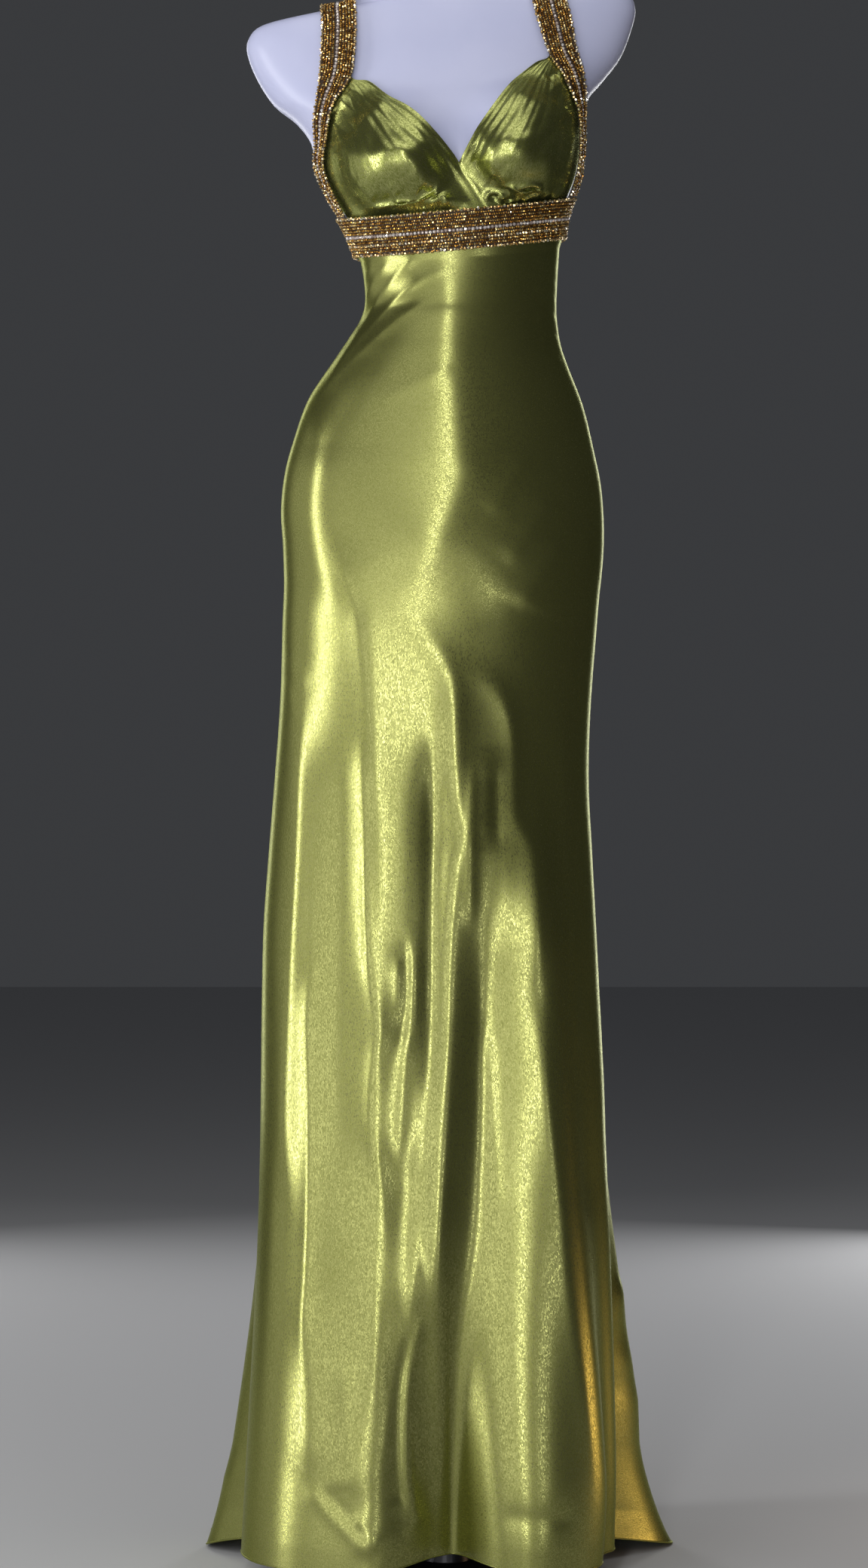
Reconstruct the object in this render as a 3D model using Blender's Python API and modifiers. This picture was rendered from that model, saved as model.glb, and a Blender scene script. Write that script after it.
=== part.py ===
"""Evening gown on a limbless dress form: every sewn piece as a closed wall, and what carries it.

Metres, +Z up, the front faces -Y.  The origin is the middle of the stand's foot, on the floor.
The wearer's right side lies at -X.  Angles round the body are degrees from the front middle,
positive towards the wearer's left, so the side seams lie at -90 and +90.
"""

import math

import bmesh
import bpy
from mathutils import Vector
from mathutils.bvhtree import BVHTree

# ---------------------------------------------------------------- driving sizes
SEAM_GAP = 0.0003           # between two pieces that are sewn to each other
BAND_SEAM_GAP = 0.0005      # from the band's inner face to the satin sewn into it
SATIN_WALL = 0.0016         # the gown's satin, doubled at its hems
TRIM_WALL = 0.0026          # beaded band and straps
FORM_GAP = 0.0010           # least air between the satin and the form
FLOOR_GAP = 0.0003
HEM_ARCH = (0.004, 0.052, 0.011)     # x, half width and height of the lift in the front hem
SEAM_RADIUS = 0.17          # about how far the side seams lie from the middle

BAND_HEIGHT = 0.041
BAND_MIDDLE_Z = 1.4044      # top edge of the band at x = 0, at the sides
BAND_SLOPE = 0.0958         # it rises towards the wearer's left
BAND_FRONT_DIP = 0.167      # and sinks towards the middle front
BAND_LAP = 0.006            # how far the cups and the skirt reach under it
BAND_OFF_FORM = 0.0068      # from the form to the band's inner face
CUP_OFF_FORM = 0.0023       # from the form to the middle of a cup's wall
CUP_OFF_CHEST = 0.0016      # added above the bust
CUP_OVERLAP_OFF = 0.0032    # the upper cup stands this much further out where it laps
CUP_PUFF = 0.010            # how far a cup bellies out above the band
CUP_LEVEL_EDGE = 0.011      # inside its visible edges a cup first lies level
STRAP_OFF_SHOULDER = 0.0038
STRAP_END_GAP = 0.0008      # above the band's top edge
STRAP_OFF_CUP = 0.0056

FORM_FRONT_COLUMNS = 26
FORM_BACK_COLUMNS = 14
CHEST_HALF_STEPS = (40, 69) # half rings added from the bust up to the neck
BUST_RINGS = (16.0, 24.0)   # the rings between which the band lies
SKIRTED_RINGS = 20          # the form's rings up to here lie inside the skirt
FRONT_COLUMNS = 37
BACK_COLUMNS = 29
TRAIN_ROWS = 6
CUP_COLUMNS = 13
CUP_COLUMN_CROWDING = 1.45  # its columns stand closer together towards the armhole
CUP_ROWS = 16
BAND_COLUMNS = 26
STRAP_STEPS = 20
STRAP_COLUMNS = 4

POLE_RADIUS = 0.0145
FLANGE_RADIUS = 0.042
FLANGE_THICKNESS = 0.006
FOOT_RADIUS = 0.130
FOOT_THICKNESS = 0.008
FOOT_COLLAR_RADIUS = 0.026
FOOT_COLLAR_HEIGHT = 0.022

# ---------------------------------------------------------------- rings of the form
# One row a ring: its left and right ends (x, z), the depth line through both ends (y), how far
# it reaches in front of and behind that line, and how square it is (2 is an ellipse).
# Columns: left_x, left_z, right_x, right_z, middle_y, front, back, square.
FORM_RINGS = (
    (-0.1200, 0.7000, 0.1000, 0.7000, 0.004, 0.0800, 0.0860, 2.3),
    (-0.1430, 0.7120, 0.1230, 0.7110, 0.004, 0.0980, 0.1040, 2.3),
    (-0.1540, 0.7500, 0.1340, 0.7460, 0.004, 0.1050, 0.1130, 2.3),
    (-0.1600, 0.8000, 0.1400, 0.7930, 0.004, 0.1070, 0.1180, 2.3),
    (-0.1640, 0.8570, 0.1435, 0.8480, 0.005, 0.1075, 0.1230, 2.2),
    (-0.1660, 0.8980, 0.1455, 0.8880, 0.006, 0.1075, 0.1260, 2.2),
    (-0.1665, 0.9370, 0.1490, 0.9270, 0.006, 0.1070, 0.1280, 2.2),
    (-0.1658, 0.9760, 0.1517, 0.9650, 0.006, 0.1065, 0.1280, 2.2),
    (-0.1642, 1.0150, 0.1548, 1.0020, 0.005, 0.1055, 0.1250, 2.2),
    (-0.1652, 1.0560, 0.1586, 1.0390, 0.004, 0.1040, 0.1210, 2.2),
    (-0.1673, 1.0930, 0.1596, 1.0760, 0.003, 0.1015, 0.1150, 2.2),
    (-0.1632, 1.1310, 0.1568, 1.1160, 0.002, 0.0980, 0.1070, 2.2),
    (-0.1541, 1.1650, 0.1498, 1.1520, 0.001, 0.0945, 0.0990, 2.1),
    (-0.1385, 1.2080, 0.1382, 1.2000, 0.000, 0.0900, 0.0910, 2.1),
    (-0.1119, 1.2470, 0.1220, 1.2420, 0.000, 0.0860, 0.0840, 2.1),
    (-0.0985, 1.2660, 0.1148, 1.2640, 0.000, 0.0840, 0.0810, 2.1),
    (-0.0852, 1.2870, 0.1112, 1.2870, 0.000, 0.0820, 0.0785, 2.1),
    (-0.0800, 1.3050, 0.1104, 1.3040, 0.000, 0.0810, 0.0775, 2.1),
    (-0.0805, 1.3260, 0.1115, 1.3300, 0.000, 0.0815, 0.0775, 2.1),
    (-0.0850, 1.3500, 0.1140, 1.3640, 0.000, 0.0830, 0.0790, 2.1),
    (-0.0960, 1.3780, 0.1192, 1.3980, 0.000, 0.0840, 0.0820, 2.1),
    (-0.1080, 1.4000, 0.1280, 1.4220, 0.001, 0.0860, 0.0860, 2.1),
    (-0.1210, 1.4200, 0.1345, 1.4420, 0.003, 0.0890, 0.0920, 2.1),
    (-0.1345, 1.4450, 0.1380, 1.4660, 0.006, 0.0890, 0.0950, 2.1),
    (-0.1400, 1.4740, 0.1400, 1.5000, 0.010, 0.0860, 0.0960, 2.1),
    (-0.1560, 1.4960, 0.1480, 1.5220, 0.014, 0.0800, 0.0920, 2.1),
    (-0.1790, 1.5150, 0.1630, 1.5400, 0.018, 0.0720, 0.0860, 2.1),
    (-0.1970, 1.5430, 0.1820, 1.5660, 0.022, 0.0630, 0.0760, 2.2),
    (-0.2070, 1.5700, 0.1940, 1.5980, 0.025, 0.0560, 0.0640, 2.3),
    (-0.2050, 1.5860, 0.1970, 1.6180, 0.026, 0.0510, 0.0560, 2.3),
    (-0.1930, 1.5980, 0.1880, 1.6340, 0.027, 0.0470, 0.0500, 2.2),
    (-0.1600, 1.6060, 0.1560, 1.6440, 0.028, 0.0450, 0.0470, 2.1),
    (-0.1230, 1.6110, 0.1080, 1.6480, 0.028, 0.0460, 0.0470, 2.0),
    (-0.1010, 1.6200, 0.0600, 1.6560, 0.027, 0.0500, 0.0490, 2.0),
    (-0.0900, 1.6370, 0.0320, 1.6700, 0.025, 0.0520, 0.0510, 2.0),
    (-0.0885, 1.6650, 0.0230, 1.6900, 0.022, 0.0520, 0.0510, 2.0),
    (-0.0900, 1.7080, 0.0200, 1.7260, 0.018, 0.0520, 0.0510, 2.0),
    (-0.0870, 1.7180, 0.0160, 1.7350, 0.017, 0.0480, 0.0470, 2.0),
)

# The two rounded mounds of the bust: middle (x, z), how far out, and how far they spread.
# Columns: x, z, height, across, below, above.
BUST_MOUNDS = (
    (-0.0560, 1.4460, 0.036, 0.074, 0.054, 0.090),
    (0.0780, 1.4600, 0.036, 0.074, 0.056, 0.090),
)

# ---------------------------------------------------------------- rings of the skirt
# The same columns, to the middle of the satin's wall, and how far the ring sinks at the front.
# Columns: those of the form's rings, then front_dip.
SKIRT_RINGS = (
    (-0.0902, 1.3600, 0.1186, 1.3810, 0.000, 0.0856, 0.0830, 2.1, 0.0140),
    (-0.0878, 1.3500, 0.1168, 1.3640, 0.000, 0.0850, 0.0816, 2.1, 0.0140),
    (-0.0840, 1.3260, 0.1146, 1.3300, 0.000, 0.0845, 0.0806, 2.1, 0.0100),
    (-0.0832, 1.3050, 0.1136, 1.3040, 0.000, 0.0842, 0.0806, 2.1, 0.0050),
    (-0.0888, 1.2870, 0.1144, 1.2870, 0.000, 0.0855, 0.0818, 2.1, 0.0000),
    (-0.1020, 1.2660, 0.1180, 1.2640, 0.000, 0.0875, 0.0842, 2.1, 0.0000),
    (-0.1152, 1.2470, 0.1252, 1.2420, 0.000, 0.0900, 0.0875, 2.1, 0.0000),
    (-0.1416, 1.2080, 0.1413, 1.2000, 0.000, 0.0940, 0.0950, 2.1, 0.0000),
    (-0.1572, 1.1650, 0.1530, 1.1520, 0.001, 0.0985, 0.1035, 2.1, 0.0000),
    (-0.1664, 1.1310, 0.1600, 1.1160, 0.002, 0.1025, 0.1115, 2.2, 0.0000),
    (-0.1704, 1.0930, 0.1628, 1.0760, 0.003, 0.1065, 0.1200, 2.2, 0.0000),
    (-0.1684, 1.0560, 0.1618, 1.0390, 0.004, 0.1095, 0.1265, 2.2, 0.0000),
    (-0.1674, 1.0150, 0.1580, 1.0020, 0.005, 0.1115, 0.1310, 2.2, 0.0000),
    (-0.1690, 0.9760, 0.1550, 0.9650, 0.006, 0.1130, 0.1340, 2.2, 0.0000),
    (-0.1712, 0.8980, 0.1492, 0.8880, 0.006, 0.1155, 0.1370, 2.2, 0.0000),
    (-0.1768, 0.8180, 0.1472, 0.8130, 0.005, 0.1190, 0.1410, 2.2, 0.0000),
    (-0.1830, 0.7400, 0.1508, 0.7370, 0.004, 0.1230, 0.1450, 2.2, 0.0000),
    (-0.1884, 0.6620, 0.1548, 0.6600, 0.004, 0.1280, 0.1500, 2.2, 0.0000),
    (-0.1900, 0.5840, 0.1588, 0.5830, 0.004, 0.1330, 0.1560, 2.2, 0.0000),
    (-0.1906, 0.5060, 0.1626, 0.5060, 0.004, 0.1390, 0.1630, 2.2, 0.0000),
    (-0.1914, 0.4280, 0.1650, 0.4280, 0.004, 0.1450, 0.1710, 2.2, 0.0000),
    (-0.1940, 0.3500, 0.1690, 0.3500, 0.004, 0.1520, 0.1800, 2.2, 0.0000),
    (-0.1975, 0.2720, 0.1725, 0.2720, 0.004, 0.1590, 0.1900, 2.2, 0.0000),
    (-0.2015, 0.1940, 0.1760, 0.1940, 0.004, 0.1660, 0.2010, 2.2, 0.0000),
    (-0.2055, 0.1160, 0.1800, 0.1160, 0.004, 0.1730, 0.2140, 2.2, 0.0000),
    (-0.2080, 0.0640, 0.1825, 0.0640, 0.004, 0.1775, 0.2240, 2.2, 0.0000),
    (-0.2100, 0.0260, 0.1840, 0.0260, 0.004, 0.1800, 0.2330, 2.2, 0.0000),
)
FLARE_ROW = 24              # below this ring the back of the skirt runs out into its train
FLARE_START_Z = SKIRT_RINGS[FLARE_ROW][1]

# Flutes of the skirt: the angle at the top and at the hem, the half width in degrees at both,
# the heights z where it starts and where it is full, and how far it stands out at the hem and
# at mid height.  A negative reach is a hollow.
# Columns: top, hem, top_width, hem_width, start_z, full_z, hem_reach.
FLUTES = (
    (-52.0, -50.0, 24.0, 26.0, 0.75, 0.05, 0.016),
    (-5.0, 2.0, 9.0, 11.5, 0.62, 0.02, -0.070),
    (24.0, 31.0, 14.0, 20.0, 0.85, 0.05, 0.020),
    (62.0, 66.0, 10.0, 12.0, 0.55, 0.05, -0.018),
    (-92.0, -92.0, 8.0, 9.0, 0.42, 0.05, -0.026),
    (94.0, 94.0, 9.0, 11.0, 0.42, 0.05, -0.034),
    (-112.0, -112.0, 14.0, 15.0, 0.48, 0.08, 0.036),
    (112.0, 113.0, 14.0, 15.0, 0.52, 0.16, 0.041),
    (-134.0, -134.0, 9.0, 10.0, 0.60, 0.05, -0.030),
    (137.0, 137.0, 9.0, 10.0, 0.60, 0.05, -0.034),
    (-156.0, -156.0, 12.0, 13.0, 0.66, 0.05, 0.030),
    (158.0, 158.0, 12.0, 13.0, 0.66, 0.05, 0.026),
    (180.0, 181.0, 9.0, 9.0, 0.60, 0.05, -0.026),
)

# The folds that lie on the skirt: 1 on the front or -1 on the back, how far a fold stands out
# (a hollow is negative), its half width, and the points (x, z) of its line from the top down.
# Columns: side, height, half_width, path.
DRAPE_FOLDS = (
    (1, 0.0035, 0.009, (
        (-0.021, 1.350), (-0.048, 1.334), (-0.069, 1.311), (-0.082, 1.284),
        (-0.104, 1.254))),
    (1, 0.0025, 0.008, ((-0.031, 1.305), (-0.057, 1.291), (-0.082, 1.273), (-0.099, 1.251))),
    (1, 0.0030, 0.010, ((-0.036, 1.284), (-0.092, 1.251), (-0.134, 1.204))),
    (1, 0.0020, 0.009, ((0.009, 1.234), (-0.040, 1.210), (-0.070, 1.197))),
    (1, 0.0025, 0.014, (
        (0.006, 1.330), (0.008, 1.268), (0.009, 1.222), (0.012, 1.145), (0.010, 1.115),
        (-0.013, 1.053))),
    (1, 0.0030, 0.014, (
        (-0.126, 1.199), (-0.127, 1.145), (-0.131, 1.084), (-0.123, 1.031),
        (-0.112, 0.992))),
    (1, 0.0045, 0.013, (
        (-0.113, 1.094), (-0.110, 1.057), (-0.090, 1.001), (-0.080, 0.939),
        (-0.073, 0.843), (-0.063, 0.689), (-0.069, 0.584), (-0.068, 0.389),
        (-0.071, 0.285))),
    (1, 0.0045, 0.012, (
        (-0.053, 1.003), (-0.025, 0.964), (0.000, 0.927), (0.008, 0.893),
        (0.009, 0.795), (0.015, 0.756), (0.008, 0.727), (0.003, 0.651),
        (-0.001, 0.464), (-0.005, 0.315), (-0.010, 0.218))),
    (1, 0.0040, 0.012, (
        (0.003, 0.930), (0.043, 0.913), (0.062, 0.880), (0.067, 0.833), (0.067, 0.780),
        (0.076, 0.757), (0.082, 0.727), (0.084, 0.584))),
    (1, 0.0060, 0.014, (
        (0.061, 0.795), (0.064, 0.689), (0.070, 0.584), (0.078, 0.464), (0.081, 0.374),
        (0.092, 0.315), (0.107, 0.181), (0.118, 0.078))),
    (1, 0.0040, 0.012, (
        (0.085, 0.614), (0.090, 0.501), (0.101, 0.389), (0.106, 0.315), (0.122, 0.166),
        (0.132, 0.092))),
    (1, 0.0045, 0.014, (
        (-0.146, 0.931), (-0.146, 0.840), (-0.149, 0.727), (-0.155, 0.584),
        (-0.157, 0.464), (-0.152, 0.352))),
    (1, 0.0035, 0.010, (
        (-0.130, 0.659), (-0.137, 0.584), (-0.134, 0.464), (-0.135, 0.352),
        (-0.138, 0.203))),
    (1, 0.0030, 0.010, ((-0.086, 0.871), (-0.081, 0.765), (-0.076, 0.584))),
    (1, 0.0020, 0.008, ((-0.036, 0.659), (-0.034, 0.614), (-0.039, 0.524), (-0.047, 0.419))),
    (1, 0.0030, 0.010, ((0.099, 1.088), (0.082, 1.065), (0.059, 1.043))),
    (1, 0.0030, 0.010, ((0.110, 1.046), (0.091, 1.017), (0.074, 0.996))),
    (1, 0.0030, 0.014, ((0.121, 0.916), (0.118, 0.802), (0.121, 0.651), (0.127, 0.501))),
    (1, -0.0060, 0.014, (
        (-0.011, 0.893), (-0.012, 0.765), (-0.014, 0.584), (-0.016, 0.464),
        (-0.023, 0.352))),
    (1, -0.0050, 0.016, (
        (0.036, 0.704), (0.024, 0.599), (0.027, 0.464), (0.030, 0.352), (0.021, 0.166),
        (0.013, 0.092))),
    (1, -0.0030, 0.016, ((-0.104, 0.878), (-0.106, 0.727), (-0.110, 0.584), (-0.108, 0.389))),
    (1, 0.0035, 0.018, ((0.036, 0.848), (0.040, 0.802), (0.036, 0.749))),
    (-1, 0.0035, 0.010, ((0.020, 1.345), (0.052, 1.322), (0.080, 1.290), (0.106, 1.250))),
    (-1, 0.0030, 0.010, ((0.000, 1.322), (-0.034, 1.302), (-0.068, 1.268), (-0.100, 1.232))),
    (-1, 0.0030, 0.011, ((0.030, 1.268), (0.074, 1.238), (0.112, 1.196))),
    (-1, 0.0025, 0.012, ((-0.010, 1.262), (-0.052, 1.222), (-0.080, 1.190))),
    (-1, 0.0030, 0.016, ((0.118, 1.170), (0.128, 1.110), (0.130, 1.040), (0.118, 0.980))),
    (-1, 0.0045, 0.014, (
        (0.062, 0.992), (0.070, 0.920), (0.078, 0.800), (0.080, 0.640), (0.088, 0.460),
        (0.100, 0.280), (0.112, 0.130))),
    (-1, 0.0045, 0.013, (
        (-0.018, 0.985), (-0.010, 0.900), (-0.014, 0.760), (-0.022, 0.600), (-0.022, 0.440),
        (-0.030, 0.260))),
    (-1, 0.0040, 0.013, (
        (-0.096, 1.020), (-0.090, 0.930), (-0.084, 0.800), (-0.092, 0.620), (-0.104, 0.430),
        (-0.116, 0.240))),
    (-1, -0.0050, 0.016, ((0.026, 0.900), (0.030, 0.720), (0.034, 0.520), (0.040, 0.340))),
    (-1, -0.0040, 0.016, ((-0.054, 0.880), (-0.058, 0.700), (-0.064, 0.500), (-0.070, 0.320))),
)
FOLD_TAPER = 0.22           # the share of a fold's length over which each end runs out

# The train: how far the back hem runs out on the floor at each angle from the middle back
# (negative towards the wearer's left), and the folds that stay standing on it, with their half
# width in degrees.
# Columns: from_back, reach.
TRAIN_REACH = (
    (-90.0, 0.000),
    (-65.0, 0.040),
    (-46.0, 0.136),
    (-22.0, 0.185),
    (0.0, 0.185),
    (24.0, 0.170),
    (49.0, 0.126),
    (65.0, 0.026),
    (90.0, 0.000),
)
# Columns: angle, width, height.
TRAIN_FOLDS = (
    (-156.0, 9.0, 0.016),
    (-112.0, 10.0, 0.014),
    (158.0, 9.0, 0.018),
    (113.0, 10.0, 0.016),
)

# ---------------------------------------------------------------- cups and straps
# Points (x, z) of a cup's two long edges, from the strap down to the band.
RIGHT_CUP_OUTER = (
    (-0.1090, 1.5470), (-0.1130, 1.5320), (-0.1180, 1.5160), (-0.1240, 1.4976), (-0.1250, 1.4730),
    (-0.1230, 1.4476), (-0.1165, 1.4180), (-0.1020, 1.3960), (-0.0975, 1.3880),
)
RIGHT_CUP_NECK = (
    (-0.0985, 1.5480), (-0.0945, 1.5305), (-0.0780, 1.5262), (-0.0600, 1.5090), (-0.0400, 1.4940),
    (-0.0215, 1.4750), (-0.0010, 1.4520), (0.0205, 1.4270), (0.0405, 1.3940),
)
LEFT_CUP_OUTER = (
    (0.1145, 1.5740), (0.1175, 1.5590), (0.1220, 1.5460), (0.1290, 1.5260), (0.1345, 1.5080),
    (0.1350, 1.4855), (0.1335, 1.4630), (0.1285, 1.4340), (0.1205, 1.4100),
)
LEFT_CUP_NECK = (
    (0.1080, 1.5740), (0.1040, 1.5550), (0.0900, 1.5470), (0.0670, 1.5230), (0.0500, 1.4990),
    (0.0345, 1.4760), (0.0140, 1.4420), (0.0000, 1.4230), (-0.0190, 1.3900),
)
# The upper cup's lapped edge below the point of the neckline, x at its ends and their heights.
LAP_TOP = (0.0115, 1.4440)
LAP_FOOT = (0.0450, 1.3860)
SHOULDER_SEAM_Y = 0.024
# Points of a strap's middle line (x, y, z) and its width there, from the shoulder down.
# Columns: x, y, z, width.
RIGHT_STRAP_FRONT = (
    (-0.1095, 0.024, 1.6160, 0.036), (-0.1095, -0.006, 1.6060, 0.036),
    (-0.1100, -0.026, 1.5860, 0.036), (-0.1120, -0.040, 1.5600, 0.036),
    (-0.1160, -0.050, 1.5380, 0.0345), (-0.1270, -0.051, 1.5090, 0.0200),
    (-0.1340, -0.041, 1.4740, 0.0195), (-0.1320, -0.032, 1.4400, 0.0195),
    (-0.1180, -0.028, 1.4080, 0.0190), (-0.1075, -0.026, 1.3902, 0.0185),
)
LEFT_STRAP_FRONT = (
    (0.1010, 0.024, 1.6500, 0.036), (0.1030, -0.006, 1.6400, 0.036),
    (0.1065, -0.024, 1.6200, 0.036), (0.1133, -0.036, 1.5950, 0.0355),
    (0.1226, -0.044, 1.5650, 0.0310), (0.1370, -0.040, 1.5350, 0.0220),
    (0.1395, -0.020, 1.5000, 0.0185), (0.1365, -0.020, 1.4650, 0.0185),
    (0.1290, -0.020, 1.4360, 0.0190), (0.1240, -0.018, 1.4155, 0.0185),
)
RIGHT_STRAP_BACK = (
    (-0.1095, 0.024, 1.6160, 0.036), (-0.1120, 0.052, 1.6060, 0.035),
    (-0.1105, 0.074, 1.5860, 0.033), (-0.1080, 0.088, 1.5560, 0.030),
    (-0.1060, 0.096, 1.5200, 0.026), (-0.1000, 0.098, 1.4800, 0.023),
    (-0.0900, 0.088, 1.4360, 0.021), (-0.0790, 0.068, 1.3970, 0.020),
)
LEFT_STRAP_BACK = (
    (0.1010, 0.024, 1.6500, 0.036), (0.1025, 0.052, 1.6420, 0.036),
    (0.1045, 0.074, 1.6200, 0.034), (0.1060, 0.088, 1.5900, 0.030),
    (0.1060, 0.096, 1.5500, 0.026), (0.1040, 0.098, 1.5050, 0.023),
    (0.0980, 0.088, 1.4560, 0.021), (0.0880, 0.070, 1.4132, 0.020),
)

MODEL_NAME = "evening_gown_on_dress_form"

# Base colour, roughness and metallic value of each finish.
FINISHES = {
    "satin": ((0.20, 0.23, 0.05, 1.0), 0.34, 0.0),
    "bead_trim": ((0.32, 0.18, 0.05, 1.0), 0.30, 0.6),
    "form_skin": ((0.72, 0.72, 0.80, 1.0), 0.45, 0.0),
    "dark_metal": ((0.05, 0.05, 0.055, 1.0), 0.35, 1.0),
}


# ---------------------------------------------------------------- small helpers
def smoothstep(low, high, value):
    """A share from 0 to 1 that starts and ends level."""
    share = min(max((value - low) / (high - low), 0.0), 1.0)
    return share * share * (3.0 - 2.0 * share)


def smooth_row(table, step):
    """A row of numbers between the table's rows, on a curve through them all."""
    last = len(table) - 1
    index = min(max(int(math.floor(step)), 0), last - 1)
    share = step - index
    before, start = table[max(index - 1, 0)], table[index]
    end, after = table[index + 1], table[min(index + 2, last)]
    row = []
    for a, b, c, d in zip(before, start, end, after):
        bend = (2 * a - 5 * b + 4 * c - d) * share + (3 * b - a - 3 * c + d) * share ** 2
        row.append(b + 0.5 * share * (c - a + bend))
    return row


def table_value(table, key):
    """The value beside a key in a two-column table, eased between its rows."""
    keys = [row[0] for row in table]
    if key <= keys[0]:
        return table[0][1]
    for (low, low_value), (high, high_value) in zip(table, table[1:]):
        if key <= high:
            return low_value + (high_value - low_value) * smoothstep(low, high, key)
    return table[-1][1]


def angle_between(angle, other):
    """The signed turn from one angle to another, in degrees."""
    return (angle - other + 180.0) % 360.0 - 180.0


# ---------------------------------------------------------------- the rings
def ring_point(row, angle):
    """A point of a ring at an angle from the middle front."""
    left_x, left_z, right_x, right_z, middle_y, front, back, square = row[:8]
    across = math.sin(math.radians(angle))
    ahead = math.cos(math.radians(angle))
    half = (right_x - left_x) / 2
    x = (left_x + right_x) / 2 + half * math.copysign(abs(across) ** (2 / square), across)
    depth = front if ahead > 0 else back
    y = middle_y - depth * math.copysign(abs(ahead) ** (2 / square), ahead)
    z = left_z + (right_z - left_z) * (x - left_x) / (right_x - left_x)
    return Vector((x, y, z))


def bust_reach(x, z):
    """How far the bust stands out of the plain ring at (x, z)."""
    reach = 0.0
    for middle_x, middle_z, height, across, below, above in BUST_MOUNDS:
        spread = above if z > middle_z else below
        away = ((x - middle_x) / across) ** 2 + ((z - middle_z) / spread) ** 2
        reach += height * math.cos(math.pi / 2 * min(away, 1.0) ** 0.5) ** 2
    return reach


def band_top_z(x, y):
    """Height of the band's top edge above a point of the plan."""
    return BAND_MIDDLE_Z + BAND_SLOPE * x + BAND_FRONT_DIP * min(y, 0.0)


def form_step(x, z):
    """Which ring of the form passes through (x, z)."""
    low, high = 0.0, len(FORM_RINGS) - 1.0
    for _ in range(26):
        middle = (low + high) / 2
        left_x, left_z, right_x, right_z = smooth_row(FORM_RINGS, middle)[:4]
        height = left_z + (right_z - left_z) * (x - left_x) / (right_x - left_x)
        low, high = (middle, high) if height < z else (low, middle)
    return (low + high) / 2


def form_point(step, angle):
    """A point of the form's surface."""
    point = ring_point(smooth_row(FORM_RINGS, step), angle)
    ahead = math.cos(math.radians(angle))
    point.y -= bust_reach(point.x, point.z) * smoothstep(0.0, 0.5, ahead)
    return point


def form_front_y(x, z):
    """How far forward the form's surface lies at (x, z)."""
    row = smooth_row(FORM_RINGS, form_step(x, z))
    left_x, right_x, middle_y, front, square = row[0], row[2], row[4], row[5], row[7]
    aside = min(abs((x - (left_x + right_x) / 2) / ((right_x - left_x) / 2)), 0.985)
    ahead = (1 - aside ** square) ** 0.5
    y = middle_y - front * (1 - aside ** square) ** (1 / square)
    return y - bust_reach(x, z) * smoothstep(0.0, 0.5, ahead)


def off_form_front(x, z, distance):
    """The point that lies a distance out from the form's front at (x, z), level at the band."""
    step = 0.002
    slope_x = (form_front_y(x + step, z) - form_front_y(x - step, z)) / (2 * step)
    slope_z = (form_front_y(x, z + step) - form_front_y(x, z - step)) / (2 * step)
    y = form_front_y(x, z)
    slope_z *= smoothstep(0.0, 0.030, z - band_top_z(x, y))
    outward = Vector((slope_x, -1.0, slope_z)).normalized()
    return Vector((x, y, z)) + outward * distance


def form_at_band(angle, drop):
    """The form's surface at an angle, that far below the band's top edge."""
    low, high = BUST_RINGS
    for _ in range(24):
        middle = (low + high) / 2
        point = form_point(middle, angle)
        wanted = band_top_z(point.x, point.y) - drop
        low, high = (middle, high) if point.z < wanted else (low, middle)
    return form_point((low + high) / 2, angle)


def off_form_at_band(angle, drop, distance):
    """The point level with form_at_band's, that far out from the form."""
    along = form_at_band(angle + 1.0, drop) - form_at_band(angle - 1.0, drop)
    outward = Vector((along.y, -along.x, 0.0)).normalized()
    return form_at_band(angle, drop) + outward * distance


def keep_clear(point, air):
    """Move a point out until it stands off the form by that much."""
    if not FORM_RINGS[0][1] < point.z < FORM_RINGS[SKIRTED_RINGS][1]:
        return point
    row = smooth_row(FORM_RINGS, form_step(point.x, point.z))
    left_x, right_x, middle_y, front, back, square = row[0], row[2], row[4], row[5], row[6], row[7]
    middle = Vector(((left_x + right_x) / 2, middle_y, point.z))
    away = point - middle
    depth = front if away.y < 0 else back
    size = (abs(away.x / ((right_x - left_x) / 2)) ** square + abs(away.y / depth) ** square)
    size = max(size ** (1 / square), 0.01)
    surface = away.length / size
    if away.length < surface + air:
        away *= (surface + air) / away.length
    return middle + away


# ---------------------------------------------------------------- the skirt
def flute_reach(angle, z):
    """How far the flutes throw the skirt out, or draw it in, at an angle and a height."""
    reach = 0.0
    for top, hem, top_width, hem_width, start_z, full_z, hem_reach in FLUTES:
        share = min(max((start_z - z) / (start_z - full_z), 0.0), 1.0)
        width = top_width + (hem_width - top_width) * share
        turn = angle_between(angle, top + (hem - top) * share)
        reach += hem_reach * share ** 1.4 * math.exp(-(turn / width) ** 2)
    return reach


def path_place(path, x, z):
    """How far (x, z) lies from a path, and the share of the path's length at the nearest point."""
    lengths = [math.dist(a, b) for a, b in zip(path, path[1:])]
    nearest, at = 1.0, 0.0
    passed = 0.0
    for (start_x, start_z), (end_x, end_z), length in zip(path, path[1:], lengths):
        run_x, run_z = (end_x - start_x) / length, (end_z - start_z) / length
        along = min(max((x - start_x) * run_x + (z - start_z) * run_z, 0.0), length)
        away = math.dist((x, z), (start_x + run_x * along, start_z + run_z * along))
        if away < nearest:
            nearest, at = away, (passed + along) / sum(lengths)
        passed += length
    return nearest, at


def fold_reach(side, x, z):
    """How far the folds throw the skirt out, or draw it in, at a point of one side."""
    reach = 0.0
    for fold_side, height, half_width, path in DRAPE_FOLDS:
        if fold_side != side:
            continue
        away, at = path_place(path, x, z)
        ends = smoothstep(0.0, FOLD_TAPER, at) * smoothstep(0.0, FOLD_TAPER, 1.0 - at)
        reach += height * math.exp(-(away / half_width) ** 2) * ends
    return reach


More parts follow.
